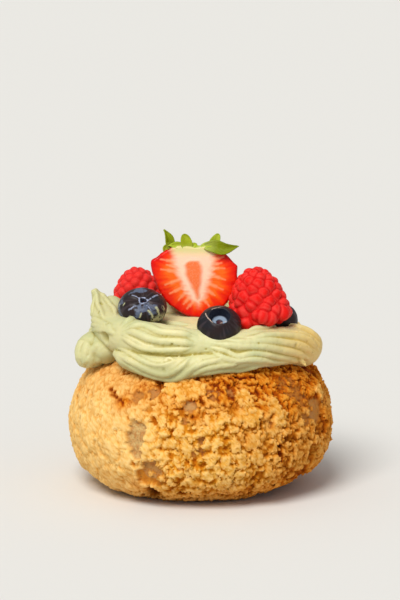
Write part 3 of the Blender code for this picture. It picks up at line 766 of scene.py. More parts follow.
# %% Crests, as seen
# Half width in mm, then points in the photograph
RIDGES_SEEN = [
    (1.31, ((119, 329), (124, 324.5), (130, 320.5), (137, 318.6), (147.5, 318.8), (156, 320.6), (166, 323),
            (179, 324.5), (193, 325))),
    (1.25, ((123, 331), (132, 327), (143, 324.8), (151, 327.5), (160, 331.5), (172, 333), (184, 333.8),
            (196, 335.5))),
    (1.25, ((120, 334), (131, 332), (141, 335), (150, 338.8), (160, 341), (172, 341.5), (186, 342.5),
            (199, 345.4))),
    (0.94, ((117, 336), (126, 339.5), (136, 345.5), (147, 349), (158, 350.2), (170, 349.9), (182, 349.2),
            (194, 348))),
    (0.55, ((120, 333), (128, 336.5), (137, 341.6), (146, 346), (158, 347))),
    (1.00, ((90, 319), (96, 320.6), (104, 324), (113, 328.5))),
    (1.00, ((89.6, 324.6), (97, 325.4), (105, 327.6), (114, 331.4))),
    (1.00, ((91, 330.4), (98, 329.4), (107, 330.6), (116, 334))),
    (0.80, ((95.5, 291), (97, 297), (97.6, 304), (101, 311), (104, 319.5))),
    (0.95, ((99.5, 292), (104.5, 297.4), (109, 304), (114.6, 310), (116, 317))),
    (0.75, ((94.6, 294), (94.2, 300), (92.4, 307), (92.6, 313), (90.6, 319))),
    (0.78, ((114, 349.6), (118, 348.4), (124, 350), (131, 353.6), (139, 358.5), (147.5, 362.8),
            (156, 365.2), (164, 365), (171.5, 362.6), (177, 358.8), (180, 355.8))),
    (1.06, ((115, 354.5), (124, 358), (134, 363.5), (143, 368.4), (152, 372.6), (163, 375), (172, 373),
            (182, 366), (189, 358.6), (194, 354.6))),
    (1.00, ((119, 362), (130, 367), (140, 372), (150, 376), (160, 378.4), (170.7, 380), (180, 377.6),
            (190, 370.5), (198, 363), (204.6, 357.6))),
    (0.88, ((176, 378.6), (186, 375), (196, 367.6), (206, 362.6), (217, 360), (223, 358.6))),
    (0.88, ((187, 377.4), (198, 372.4), (208, 369), (220, 366.8), (232, 365.2), (242, 363.4))),
    (0.88, ((196, 375.4), (208, 372.8), (224, 371), (240, 370.6), (253, 368), (265, 365.6))),
    (1.25, ((244, 331), (256, 328.6), (270, 327.8), (284, 326.2), (298, 327.6), (307, 330.4), (314, 335),
            (319, 340.6), (321, 346))),
    (1.25, ((240, 337), (253, 338.4), (266, 335.5), (279, 334.5), (293, 335.5), (304, 338), (311, 342),
            (317, 347.4), (319.4, 352.6))),
    (1.25, ((226, 339), (238, 341.6), (250, 342), (263, 340.8), (276, 341.4), (288, 342.8), (300, 345.6),
            (308, 349.4), (313.6, 354.6), (316, 359))),
    (1.25, ((211, 343), (224, 344.6), (238, 345.8), (256, 346), (270, 347.6), (283, 350.2), (296, 353),
            (304, 356.4), (309, 360.6), (311.4, 364))),
    (1.06, ((206, 347), (214, 348.6), (226, 351.4), (238, 356.2), (251, 353.6), (263, 354), (277, 356.8),
            (290, 359), (299, 362.4), (304, 366), (306, 369))),
    (0.94, ((207, 350), (215, 353.2), (225, 358), (237, 361), (250, 359.8), (263, 360.2), (275, 362),
            (288, 361.8), (297, 365.6))),
    (0.9, ((292, 331.2), (305, 334.2), (312, 338.4), (318, 344), (320.4, 349.6))),
    (0.50, ((161.6, 359), (162.2, 363), (166, 365.4), (170.8, 364.6), (173.2, 361.2), (171.6, 358.4),
            (168, 358.0), (165.8, 360.0), (167.6, 362), (169.6, 361))),
]
# The same for the lobe at the left, whose ridges are broad and low and follow its edge
LOBE_RIDGES = [
    (2.2, ((86, 337), (80.5, 342), (77.8, 349), (78.4, 357), (82.4, 364), (88.6, 368.4))),
    (2.1, ((94, 340), (87.6, 344.4), (84.6, 350.6), (85.4, 357.6), (90, 363), (96.6, 365.4))),
    (1.8, ((102, 343), (95, 346.6), (91.4, 351.6), (92.4, 357.4), (97.4, 361), (103.6, 360.6))),
]
SUNK = 0.18                     # of a ridge's half width
LOBE_SUNK = 0.70
END_SHARE = 0.18                # of its length, over which a ridge thins to nothing
EVENING_PASSES = 5              # that take the jumps out of a line laid over an edge
TRACK_STEP = 1.6                # pixels


def laid_on(masses, lines, sunk):
    """Lay lines drawn on the photograph over what the camera sees there; radii ease out at both ends."""
    tree = BVHTree.FromObject(masses, bpy.context.evaluated_depsgraph_get())
    laid = []
    for half_width, pixels in lines:
        seen, depths = [], []
        track = smooth_line(pixels, TRACK_STEP)
        for i, pixel in enumerate(track):
            sight = line_of_sight(*pixel)
            hit, normal, _, depth = tree.ray_cast(EYE, sight)
            if hit:
                thinning = ease(min(i, len(track) - 1 - i) / (END_SHARE * len(track)), 0.0, 1.0)
                outward = -normal if normal.dot(sight) > 0 else normal
                seen.append((sight, outward * half_width * sunk, half_width * (0.25 + 0.75 * thinning)))
                depths.append(depth)
        for _ in range(EVENING_PASSES):
            evened = [(a + 2 * b + c) / 4 for a, b, c in zip(depths, depths[1:], depths[2:])]
            depths = depths[:1] + evened + depths[-1:]
        laid.append([Vector((*((EYE + sight * depth) / MM - inward), radius))
                     for depth, (sight, inward, radius) in zip(depths, seen)])
    return laid


ridges = ropes("ridges", laid_on(masses, RIDGES_SEEN, SUNK) + laid_on(masses, LOBE_RIDGES, LOBE_SUNK))
# The tooth of cream that hangs over the crust at the right, as x, y, z and radius
TOOTH = smooth_line([
    (29.8, -13.4, 44.7, 1.0), (31.6, -14.0, 43.5, 0.95), (32.8, -14.3, 42.3, 0.65),
    (33.5, -14.4, 41.4, 0.25),
], ROPE_STEP)
cream = join([masses, ridges, ropes("tooth", [TOOTH])])
print("ridges laid:", len(RIDGES_SEEN) + len(LOBE_RIDGES))

# %% [markdown]
# ## The cream: one skin
#
# Soft cream has no inner walls: where two ropes touch they flow together, and the crease between them is
# rounded. A voxel remesh does just that, with squares fine enough to keep the ridges. The part that would
# lie inside the bun is then cut off with a Boolean, a little below the crust, so that no gap shows.

# %% Fuse, smooth and trim the cream
VOXEL = 0.38                    # mm
TRIM_DEPTH = 1.3                # mm below the smooth bun

fuse(cream, VOXEL, smoothing=2)
trimmer = fresh(bpy.ops.mesh.primitive_uv_sphere_add, segments=96, ring_count=64, radius=1.0)
ball = read_points(trimmer.data)
write_points(trimmer.data, (smooth_bun(ball) - ball * TRIM_DEPTH) * MM)
trim = cream.modifiers.new("trim", "BOOLEAN")
trim.object = trimmer
trim.solver = "MANIFOLD"
apply_modifiers(cream)
bpy.data.objects.remove(trimmer, do_unlink=True)
print("cream:", len(cream.data.polygons), "faces")

# %% [markdown]
# ## The cream: small unevenness
#
# Real cream is never machined: the rope swells, its ridges tear a little where they are thin, and air
# leaves pits. Each point moves along its normal by noise at three sizes, and a few pits are pressed in
# where they show.

# %% Waver, tears and pits
# Pixel, reach and depth in mm
PITS_SEEN = [
    ((106.6, 323), 1.0, 1.3), ((102, 303), 0.9, 0.6), ((104.6, 338), 2.6, 1.6), ((163.6, 370), 0.8, 0.7),
    ((297, 345.4), 1.3, 0.6), ((99, 312), 0.8, 0.5), ((171.8, 344.6), 0.6, 0.5), ((259, 343), 0.5, 0.4),
    ((206, 349.4), 0.6, 0.4), ((151, 354), 0.5, 0.4), ((307, 341), 0.6, 0.4),
]
TEAR_DEPTH = 0.5

places = read_points(cream.data) / MM
x, _, z = places.T
hollow_shade = hollowness(cream.data)
shift = noisy(noise.noise, places, (0.28, 5.5), (0.10, 1.3))
tears = sample(noise.noise, places * (1.0, 1.0, 1.6) / 1.1 + 5.0)
shift -= TEAR_DEPTH * ease(tears, 0.34, 0.6) * ease(-hollow_shade, 0.02, 0.12) * ease(x, 2.0, 16.0)
tree = BVHTree.FromObject(cream, bpy.context.evaluated_depsgraph_get())
# Each pit is pressed in and marked for painted shade.
for pixel, reach, depth in PITS_SEEN:
    dent = closeness(places, tree.ray_cast(EYE, line_of_sight(*pixel))[0] / MM, reach)
    shift -= depth * dent
    hollow_shade += 0.2 * dent
push_out(cream.data, shift)
# Painted shade under the front ropes; the left side is mixed towards a greener tone.
shade_under_ropes = 0.95 * ease(-z, -47.5, -43.5) * ease(-np.abs(x + 8.0), -32.0, -22.0)
# A painted warm reflection at the right end of the cream.
write_marks(cream, {"hollow_shade": hollow_shade, "painted_warm_reflection": 0.8 * ease(x, 16.0, 38.0) * ease(-z, -62.0, -48.0),
                    "green": np.maximum(shade_under_ropes, 0.35 * ease(-x, 12.0, 30.0))})
print("pits pressed in:", len(PITS_SEEN))

# %% [markdown]
# ## Whipped green tea cream
#
# Cream whipped with powdered green tea is a pale yellow green, greener at the left. Painted shade makes it
# olive in its creases and pits and under the front ropes. Light enters it a little, which softens every edge:
# that is subsurface scattering. It is satin rather than glossy. Grains of tea show as rare tiny specks, and
# at the right a painted warm reflection makes the cream warmer.

# %% Material of the cream
TEA_GRAIN_SPACING = 3.2         # mm
AIR_BUBBLE_SIZE = 0.5
TEA_CLOUD_SIZE = 9.0            # of unevenly mixed tea

whipped_cream, tree = new_material("whipped_green_tea_cream")
place = add(tree, "ShaderNodeTexCoord", out="Object")
marks = {name: add(tree, "ShaderNodeAttribute", out="Fac", attribute_name=name)
         for name in ("hollow_shade", "painted_warm_reflection", "green")}
clouds = add(tree, "ShaderNodeTexNoise", {"Vector": place, "Scale": 1 / (TEA_CLOUD_SIZE * MM),
                                          "Detail": 3.0})
bubbles = add(tree, "ShaderNodeTexNoise", {"Vector": place, "Scale": 1 / (AIR_BUBBLE_SIZE * MM),
                                           "Detail": 2.0})
grains = add(tree, "ShaderNodeTexVoronoi", {"Vector": place, "Scale": 1 / (TEA_GRAIN_SPACING * MM)})
crease = add(tree, "ShaderNodeMapRange", {"Value": marks["hollow_shade"], "From Min": 0.0, "From Max": 0.16})
grain = add(tree, "ShaderNodeMapRange", {"Value": grains, "From Min": 0.04, "From Max": 0.07,
                                         "To Min": 0.5, "To Max": 0.0})
body = set_stops(add(tree, "ShaderNodeValToRGB", {"Fac": clouds}),
                 (0.35, "#C8CA96"), (0.5, "#D5D19C"), (0.65, "#DFD6A0"))
# Painted shade: olive in the creases, pits and under the front ropes. A painted warm reflection at the right.
for mask, hex_value in ((crease, "#AC9C46"), (marks["painted_warm_reflection"], "#E8BE64"), (marks["green"], "#B0AE78"),
                        (grain, "#9A8B40")):
    body = add(tree, "ShaderNodeMix", {"Factor": mask, 6: body, 7: colour(hex_value)},
               out=2, data_type="RGBA")
bump = add(tree, "ShaderNodeBump", {"Height": bubbles, "Strength": 0.22, "Distance": 0.15 * MM})
give_surface(tree, {"Base Color": body, "Normal": bump, "Roughness": 0.55, "Subsurface Weight": 0.18,
                    "Subsurface Radius": (1.0, 0.9, 0.5), "Subsurface Scale": 1.2 * MM})
finish_piece(cream, "piped_cream", whipped_cream, ["cream"])

# %% [markdown]
# ## The raspberries
#
# A raspberry is a blunt cone of drupelets, round beads that grew pressed together. One bead is modelled and
# copied onto a spiral that turns by the golden angle, which is how plants pack seeds: each bead has the
# same room, and no rows show. A plain body fills the middle, and a voxel remesh makes one skin with deep
# creases.

# %% Place the drupelets
RASPBERRY_RADIUS = 10.5         # mm, as are all sizes of the fruit
RASPBERRY_HEIGHT = 19.6
RASPBERRY_FOOT = 0.16           # the share of the height over which the foot rounds in
DRUPELET_AT_FOOT = 4.6
DRUPELET_AT_TOP = 3.4
DRUPELET_ROOM = 0.87            # the area that one takes up, of its width squared
GOLDEN_ANGLE = math.pi * (3.0 - math.sqrt(5.0))


def raspberry_side(height):
    """Distance of the skin from the axis, at heights from 0 to 1."""
    foot = np.minimum(1.0, (height / RASPBERRY_FOOT) ** 0.5)
    return RASPBERRY_RADIUS * np.maximum(0.0, 1.0 - height ** 2) ** 0.5 * foot


def drupelet_spots(chance):
    """Place, outward direction and width of each drupelet, from the foot to the top."""
    heights = np.linspace(0.0, 1.0, 400)
    sides = raspberry_side(heights)
    widths = DRUPELET_AT_FOOT + (DRUPELET_AT_TOP - DRUPELET_AT_FOOT) * heights
    steps = np.hypot(np.diff(heights) * RASPBERRY_HEIGHT, np.diff(sides))
    areas = math.tau * (sides[1:] + sides[:-1]) / 2 * steps
    room = np.concatenate(([0.0], np.cumsum(areas / (DRUPELET_ROOM * widths[1:] ** 2))))
    start = chance.uniform(0.0, math.tau)
    spots = []
    for i in range(int(room[-1])):
        height = float(np.interp(i + 0.5, room, heights))
        near = np.array((max(0.001, height - 0.01), height, min(1.0, height + 0.01)))
        below, side, above = raspberry_side(near).tolist()
        angle = start + i * GOLDEN_ANGLE + chance.uniform(-0.10, 0.10)
        ahead, across = math.cos(angle), math.sin(angle)
        out = Vector((ahead, across, (below - above) / (0.02 * RASPBERRY_HEIGHT))).normalized()
        place = Vector((side * ahead, side * across, (height - 0.5) * RASPBERRY_HEIGHT))
        spots.append((place, out, float(np.interp(height, heights, widths)) * chance.uniform(0.80, 1.18)))
    return spots

# %% Model a raspberry
BEAD_ACROSS = 0.55              # a bead's half width, of its room
BEAD_DEEP = 0.64
BODY_UNDER_BEADS = 1.5          # mm
RASPBERRY_VOXEL = 0.25


def pointing_along(top):
    """A matrix that points something built upright the right way."""
    return Vector(top).to_track_quat("Z", "Y").to_matrix().to_4x4()


def place_along(place, top, size, press=1.0):
    """A matrix that moves something built upright to its place, and presses it flatter from above."""
    flatter = Matrix.Scale(press, 4, (0.0, 0.0, 1.0))
    return Matrix.Translation(Vector(place) * MM) @ flatter @ pointing_along(top) @ Matrix.Scale(size, 4)


def raspberry_body():
    """The plain body that fills the middle."""
    body = fresh(bpy.ops.mesh.primitive_uv_sphere_add, segments=48, ring_count=32, radius=1.0)
    x, y, z = read_points(body.data).T
    height = np.clip(z * 0.5 + 0.5, 0.0, 1.0)
    side = np.maximum(0.0, raspberry_side(height) - BODY_UNDER_BEADS) / np.maximum(np.hypot(x, y), 1e-6)
    inner_height = (height - 0.5) * (RASPBERRY_HEIGHT - 2 * BODY_UNDER_BEADS)
    write_points(body.data, np.stack((x * side, y * side, inner_height), 1) * MM)
    return body


def raspberry(name, place, top, size, seed, sheen_all_over=0.0):
    """Beads fused over a body and marked for the skin: creases for painted shade, rims for a painted sheen,
    which the last argument spreads over the whole berry, and each bead's own luck.
    """
    spots = drupelet_spots(random.Random(seed))
    parts = [raspberry_body()]
    middles = []
    bead = fresh(bpy.ops.mesh.primitive_ico_sphere_add, subdivisions=3, radius=MM)
    for spot, out, width in spots:
        middles.append(spot - out * BEAD_DEEP * width)
        parts.append(new_object("bead", bead.data.copy()))
        shape = Matrix.Diagonal((BEAD_ACROSS * width, BEAD_ACROSS * width, BEAD_DEEP * width, 1.0))
        parts[-1].data.transform(Matrix.Translation(middles[-1] * MM) @ pointing_along(out) @ shape)
    bpy.data.objects.remove(bead, do_unlink=True)
    berry = join(parts)
    fuse(berry, RASPBERRY_VOXEL, smoothing=3)
    apply_modifiers(berry)

    skin = read_points(berry.data) / MM
    widths = np.array([width for _, _, width in spots])
    reach = np.linalg.norm(skin[:, None, :] - np.array([middle[:] for middle in middles]), axis=2) / widths
    nearest = np.sort(reach, axis=1)
    apart = nearest[:, 1] - nearest[:, 0]
    rim = ease(apart, 0.04, 0.14) * (1.0 - ease(apart, 0.14, 0.34))
    luck = np.random.default_rng(seed).uniform(0.0, 1.0, len(spots))
    write_marks(berry, {"crease": 1.0 - ease(apart, 0.0, 0.18), "painted_fuzz_sheen": np.maximum(rim, sheen_all_over),
                        "luck": luck[np.argmin(reach, axis=1)]})
    push_out(berry.data, noisy(noise.noise, skin, (0.12, 1.4)))
    berry.data.transform(place_along(place, top, size))
    print(name, len(spots), "drupelets")
    return berry


raspberries = {
    "raspberry_right": raspberry("right", (17.9, -8.8, 62.5), (-0.13, 0.10, 1.0), 1.04, seed=5),
    "raspberry_left": raspberry("left", (-20.3, 12.8, 59.2), (-0.06, -0.05, 1.0), 0.93, seed=8, sheen_all_over=0.85)}

# %% [markdown]
# ## Raspberry skin
#
# The skin of a raspberry is bright red and looks velvety: fine hairs catch the light along each bead's
# edge, which a painted highlight, a paler band, and a little sheen give. The juice under the skin lets some
# light through, and the creases are painted a deeper red as shade.

# %% Material of the raspberries
HAIR_SIZE = 0.35                # mm, coarser than real hairs so that it shows

raspberry_skin, tree = new_material("velvety_raspberry_skin")
place = add(tree, "ShaderNodeTexCoord", out="Object")
marks = {name: add(tree, "ShaderNodeAttribute", out="Fac", attribute_name=name)
         for name in ("crease", "luck", "painted_fuzz_sheen")}
hairs = add(tree, "ShaderNodeTexNoise", {"Vector": place, "Scale": 1 / (HAIR_SIZE * MM), "Detail": 3.0})
mottle = add(tree, "ShaderNodeMapRange", {"Value": hairs, "From Min": 0.35, "From Max": 0.7,
                                          "To Min": 0.0, "To Max": 0.25})
# Painted sheen: a paler band along each bead's edge. Painted shade: a deeper red in the creases.
painted_sheen = add(tree, "ShaderNodeMath", {0: marks["painted_fuzz_sheen"], 1: 0.24}, operation="MULTIPLY")
deep_painted_shade = add(tree, "ShaderNodeMath", {0: marks["crease"], 1: 0.5}, operation="MULTIPLY")
red = set_stops(add(tree, "ShaderNodeValToRGB", {"Fac": marks["luck"]}),
                (0.0, "#D40804"), (0.5, "#DE0C06"), (1.0, "#E6140C"))
for mask, hex_value in ((mottle, "#EE3C32"), (painted_sheen, "#F4665C"), (deep_painted_shade, "#C00810")):
    red = add(tree, "ShaderNodeMix", {"Factor": mask, 6: red, 7: colour(hex_value)},
              out=2, data_type="RGBA")
bump = add(tree, "ShaderNodeBump", {"Height": hairs, "Strength": 0.25, "Distance": 0.1 * MM})
give_surface(tree, {"Base Color": red, "Normal": bump, "Roughness": 0.5, "Specular IOR Level": 0.1,
                    "Sheen Weight": 0.06, "Sheen Roughness": 0.4, "Sheen Tint": colour("#FFB4AE"),
                    "Subsurface Weight": 0.12, "Subsurface Radius": (1.0, 0.25, 0.2),
                    "Subsurface Scale": 1.0 * MM})
for node, berry in raspberries.items():
    finish_piece(berry, node + "_skin", raspberry_skin, [node])

# %% [markdown]
# ## The blueberries
#
# A blueberry is a squat ball with a crown at its end, a small cup ringed by what was left of the flower. A
# sphere is turned into the berry by sending each of its rings to a point on a profile that dips into the
# cup. What makes each berry its own is drawn on the photograph: the pale ridges of the crown and its dry
# crumbs.

# %% Model a blueberry
BLUEBERRY_TOP_RING = 5.0        # height of the crown's rim
BLUEBERRY_SIDE = ((2.8, 4.95), (4.6, 4.3), (6.2, 2.5), (6.9, 0.0), (6.2, -2.7), (4.0, -4.6), (0.0, -5.4))


def blueberry_profile(cup_radius, cup_depth):
    """Points from the bottom of the cup over its rim and down the side: reach from the axis, and height."""
    pit = BLUEBERRY_TOP_RING - cup_depth
    inside = ((0.0, pit - 0.4), (0.28 * cup_radius, pit - 0.25), (0.36 * cup_radius, pit + 0.1),
              (0.78 * cup_radius, pit + 0.45), (0.92 * cup_radius, BLUEBERRY_TOP_RING - 0.3 * cup_depth),
              (1.02 * cup_radius, BLUEBERRY_TOP_RING - 0.05))
    side = tuple(knot for knot in BLUEBERRY_SIDE if knot[0] > 1.15 * cup_radius or knot[1] < 4.0)
    return smooth_line(inside + side, 0.12)


def draw_on(berry, lines, marks, raised):
    """Mark and raise a berry's skin along lines of (mark, half width, rise, pixels), as they are seen."""
    skin = read_points(berry.data) / MM
    tree = BVHTree.FromObject(berry, bpy.context.evaluated_depsgraph_get())
    for kind, half_width, rise, pixels in lines:
        hits = [tree.ray_cast(EYE, line_of_sight(*pixel))[0] for pixel in pixels]
        hits = [hit / MM for hit in hits if hit]
        for start, end in zip(hits, hits[1:]):
            line = along_line(skin, start, end, half_width)
            marks[kind] = np.maximum(marks[kind], line)
            raised = np.maximum(raised, rise * line)
    write_marks(berry, marks)
    push_out(berry.data, raised)


def blueberry(place, top, size, press, cup, shelf, wobble, waxy, lines=()):
    """Press makes the berry squat, cup is its radius and depth, and shelf is 1 for a pale shelf inside the
    cup or 0 for a pale ring round it. Wobble bends the rim, and waxy is the share of bloom."""
    profile = blueberry_profile(*cup)
    rings = len(profile) - 1
    berry = fresh(bpy.ops.mesh.primitive_uv_sphere_add, segments=160, ring_count=rings, radius=1.0)
    x, y, z = read_points(berry.data).T
    ring_number = np.arccos(np.clip(z, -1.0, 1.0)) / math.pi * rings
    reach = np.interp(ring_number, np.arange(len(profile)), [spot.x for spot in profile])
    height = np.interp(ring_number, np.arange(len(profile)), [spot.y for spot in profile])
    reach[np.abs(z) > 0.999999] = 0.0
    angle = np.arctan2(y, x)
    out = reach / cup[0]
    height += wobble * np.cos(5 * angle + 1.0) * ease(out, 0.7, 1.3) * (1.0 - ease(reach, 2.5, 5.5))
    skin = np.stack((reach * np.cos(angle), reach * np.sin(angle), height), 1)
    uneven = 0.035 * sample(noise.noise, skin / 5.0 + size) + 0.008 * sample(noise.noise, skin / 0.9)
    skin *= 1.0 + uneven[:, None]
    write_points(berry.data, skin * MM)

    upper = height > 0
    streaks = sample(noise.noise, np.stack((7.0 * np.cos(angle), 7.0 * np.sin(angle), height / 4.0), 1))
    wax = sample(lambda spot: noise.fractal(spot, 0.8, 2.2, 3), skin / 3.4 + size * 9)
    write_marks(berry, {
        "cup": (1.0 - ease(out, 0.94, 1.06)) * upper, "pit": (1.0 - ease(out, 0.26, 0.34)) * upper,
        "shelf": shelf * ease(out, 0.26, 0.34) * (1.0 - ease(out, 0.62, 0.78)) * upper,
        "streak": ease(streaks, 0.05, 0.5) * ease(out, 1.0, 1.6), "bloom": waxy * ease(wax, 0.0, 0.6)})
    off_ring = np.abs(reach - 1.35 * cup[0] - 0.12 * np.cos(3 * angle))
    ring = (1.0 - shelf) * (1.0 - ease(off_ring, 0.10, 0.28)) * upper
    berry.data.transform(place_along(place, top, size, press))
    draw_on(berry, lines, {"pale": ring, "dry": 0 * ring, "smear": 0 * ring}, 0.15 * ring)
    return berry


# Mark, half width and rise in mm, and points in the photograph
LEFT_CROWN = [("pale", 0.42, 0.22, ((148.0, 300.6), (150.6, 298.8), (153.5, 296.8), (157.6, 295.3))),
              ("pale", 0.40, 0.2, ((139.6, 305.4), (136.0, 305.8), (133.4, 306.9), (131.0, 308.9),
                                   (128.6, 309.8))),
              ("pale", 0.25, 0.15, ((139.0, 298.4), (136.4, 296.6), (132.0, 295.2))),
              ("pale", 0.25, 0.1, ((146.6, 305.4), (149.0, 307.4), (150.6, 310.0)))]
FRONT_CROWN = [("dry", 0.24, 0.14, ((205.4, 313.4), (206.6, 316.0), (208.4, 318.6), (211.6, 321.6))),
               ("dry", 0.22, 0.12, ((212.0, 309.3), (216.4, 307.9), (219.4, 307.3), (223.4, 306.9))),
               ("dry", 0.20, 0.08, ((212.4, 322.2), (216.0, 322.9), (221.0, 323.0), (226.0, 321.6)))]
# Cream that stuck to the left berry as it was pressed in
LEFT_SMEARS = [("smear", 0.80, 0.12, ((156.4, 307.8), (158.2, 311.4), (158.8, 315.0), (158.6, 320.0))),
               ("smear", 0.90, 0.14, ((162.6, 307.2), (164.8, 310.6), (165.6, 315.4), (164.4, 320.0))),
               ("smear", 0.60, 0.10, ((148.4, 310.8), (150.6, 313.0), (152.4, 316.2), (153.2, 320.0))),
               ("smear", 1.70, 0.10, ((154.0, 319.6), (158.6, 317.6), (163.4, 316.0), (166.0, 314.0))),
               ("smear", 0.40, 0.08, ((141.4, 313.4), (140.4, 315.6), (139.6, 318.0))),
               ("smear", 0.40, 0.08, ((130.2, 316.2), (128.4, 318.6), (127.2, 320.6))),
               ("smear", 0.45, 0.08, ((119.8, 304.6), (118.9, 307.4), (118.6, 310.4))),
               ("smear", 0.35, 0.06, ((124.6, 303.2), (123.2, 305.4)))]
blueberries = {
    "blueberry_front": blueberry((5.8, -21.8, 56.5), (0.02, -0.64, 0.77), 1.02, press=0.92, cup=(3.3, 3.5),
                                 shelf=1.0, wobble=0.14, waxy=0.3, lines=FRONT_CROWN),
    "blueberry_left": blueberry((-18.6, -9.4, 59.5), (0.04, -0.74, 0.67), 1.14, press=0.82, cup=(0.86, 0.7),
                                shelf=0.0, wobble=0.2, waxy=1.0, lines=LEFT_CROWN + LEFT_SMEARS),
    "blueberry_right": blueberry((25.2, 7.6, 52.2), (0.55, -0.30, 0.78), 0.92, press=1.0, cup=(2.6, 1.6),
                                 shelf=1.0, wobble=0.14, waxy=0.4)}
print("blueberries:", len(blueberries))

# %% [markdown]
# ## Blueberry skin
#
# The skin is nearly black, and brownish where it is bruised. A grey-blue bloom of wax lies on it in clouds,
# and has been rubbed off in places. The crown's cup is pale blue on its shelf, and its pit is reddish.
# Smears of cream have stuck to the left berry.

# %% Material of the blueberries
SCUFF_SIZE = 0.9                # mm
BRUISE_SIZE = 7.0
# Mark, colour, share and whether scuffs break it up, from the lowest layer to the top one
BLUEBERRY_LAYERS = [
    ("streak", "#463A40", 0.5, False), ("cup", "#1C2030", 0.9, False), ("shelf", "#93A6BC", 0.9, False),
    ("pit", "#4A2228", 0.9, False), ("pale", "#A9B2CE", 0.9, True), ("dry", "#DEC2AE", 0.95, True),
    ("smear", "#C8C89C", 0.9, True),
]

blueberry_skin, tree = new_material("blueberry_skin_with_bloom")
place = add(tree, "ShaderNodeTexCoord", out="Object")
scuffs = add(tree, "ShaderNodeTexNoise", {"Vector": place, "Scale": 1 / (SCUFF_SIZE * MM), "Detail": 5.0,
                                          "Roughness": 0.7})
bruise = add(tree, "ShaderNodeTexNoise", {"Vector": place, "Scale": 1 / (BRUISE_SIZE * MM)})
patchy = add(tree, "ShaderNodeMapRange", {"Value": scuffs, "From Min": 0.40, "From Max": 0.50})
bloom = add(tree, "ShaderNodeAttribute", out="Fac", attribute_name="bloom")
wax = add(tree, "ShaderNodeMath", {0: scuffs, 1: bloom}, operation="MULTIPLY")
wax = add(tree, "ShaderNodeMapRange", {"Value": wax, "From Min": 0.2, "From Max": 0.46,
                                       "To Min": 0.0, "To Max": 0.8})
skin = set_stops(add(tree, "ShaderNodeValToRGB", {"Fac": bruise}),
                 (0.35, "#281614"), (0.5, "#241A1C"), (0.65, "#1C1C22"))
skin = add(tree, "ShaderNodeMix", {"Factor": wax, 6: skin, 7: colour("#5E6A82")}, out=2, data_type="RGBA")
for name, hex_value, share, broken_up in BLUEBERRY_LAYERS:
    mask = add(tree, "ShaderNodeAttribute", out="Fac", attribute_name=name)
    mask = add(tree, "ShaderNodeMath", {0: mask, 1: share}, operation="MULTIPLY")
    if broken_up:
        mask = add(tree, "ShaderNodeMath", {0: mask, 1: patchy}, operation="MULTIPLY")
    skin = add(tree, "ShaderNodeMix", {"Factor": mask, 6: skin, 7: colour(hex_value)},
               out=2, data_type="RGBA")
bump = add(tree, "ShaderNodeBump", {"Height": scuffs, "Strength": 0.3, "Distance": 0.2 * MM})
give_surface(tree, {"Base Color": skin, "Normal": bump, "Roughness": 0.42, "Specular IOR Level": 0.22})
for node, berry in blueberries.items():
    finish_piece(berry, node + "_skin", blueberry_skin, [node])

# %% [markdown]
# ## The half strawberry
#
# The strawberry was cut lengthwise, and its cut face looks at the camera. A sphere with a pole in the
# middle of that face has its near half pressed flat into the cut, whose outline is read from the
# photograph, while the far half keeps its bulge. The pattern of the flesh follows the way a strawberry
# grows: a pale core, an orange heart, and pale strands that run out from the core to the seeds.

# %% Shape of the half strawberry
# Points in the cut plane are x and height above the tip, in mm
CUT_OUTLINE = [(-13.8, 18.3), (-12.7, 19.1), (-9.2, 21.5), (-5.3, 22.9), (0.9, 22.5), (5.1, 23.2),
               (9.5, 20.6),
               (12.6, 17.4), (13.7, 16.3), (13.7, 13.8), (13.4, 10.3), (11.0, 5.5), (7.8, 2.3), (4.6, 0.4),
               (1.4, -0.1), (-2.8, 0.7), (-6.3, 2.8), (-8.5, 4.4), (-11.1, 7.9), (-13.2, 13.2),
               (-14.0, 16.6)]
CUT_MIDDLE = (0.0, 12.0)
CUT_EDGE = 0.6                  # mm over which the rim of the cut rounds
BERRY_PLACE = Vector((-2.0, -3.6, 55.0))
BERRY_LEAN = math.radians(12)
BERRY_BULGE = 11.6              # mm, from the cut to the back
BERRY_FRAME = Matrix.Translation(BERRY_PLACE * MM) @ Matrix.Rotation(-BERRY_LEAN, 4, "X")

strawberry = fresh(bpy.ops.mesh.primitive_uv_sphere_add, segments=320, ring_count=150, radius=1.0)
x, y, z = read_points(strawberry.data).T
angle = np.arctan2(y, x)
tilt = np.arcsin(np.clip(z, -1.0, 1.0)) / (math.pi / 2)        # 1 in the middle of the cut, -1 at the back
front = tilt > 0
outline = np.array([spot[:] for spot in smooth_line(CUT_OUTLINE + CUT_OUTLINE[:2], 0.4)]) - CUT_MIDDLE
outline_turns = np.arctan2(outline[:, 1], outline[:, 0])
outline_rims = np.hypot(outline[:, 0], outline[:, 1])


def rim_at(angle):
    """Distance of the cut's outline from its middle."""
    return np.interp(angle, outline_turns, outline_rims, period=math.tau)


rim = rim_at(angle)
share = np.where(front, 1.0 - tilt, np.cos(tilt * math.pi / 2))      # of the way from the middle to the rim
depth = np.where(front, CUT_EDGE * ease(share, 0.93, 1.0) ** 2 - 0.25 * (1.0 - share ** 2),
                 CUT_EDGE - BERRY_BULGE * np.sin(tilt * math.pi / 2))
berry_points = np.stack((CUT_MIDDLE[0] + rim * share * np.cos(angle), depth,
                         CUT_MIDDLE[1] + rim * share * np.sin(angle)), 1)
print("points in the cut:", front.sum(), "and behind it:", (~front).sum())

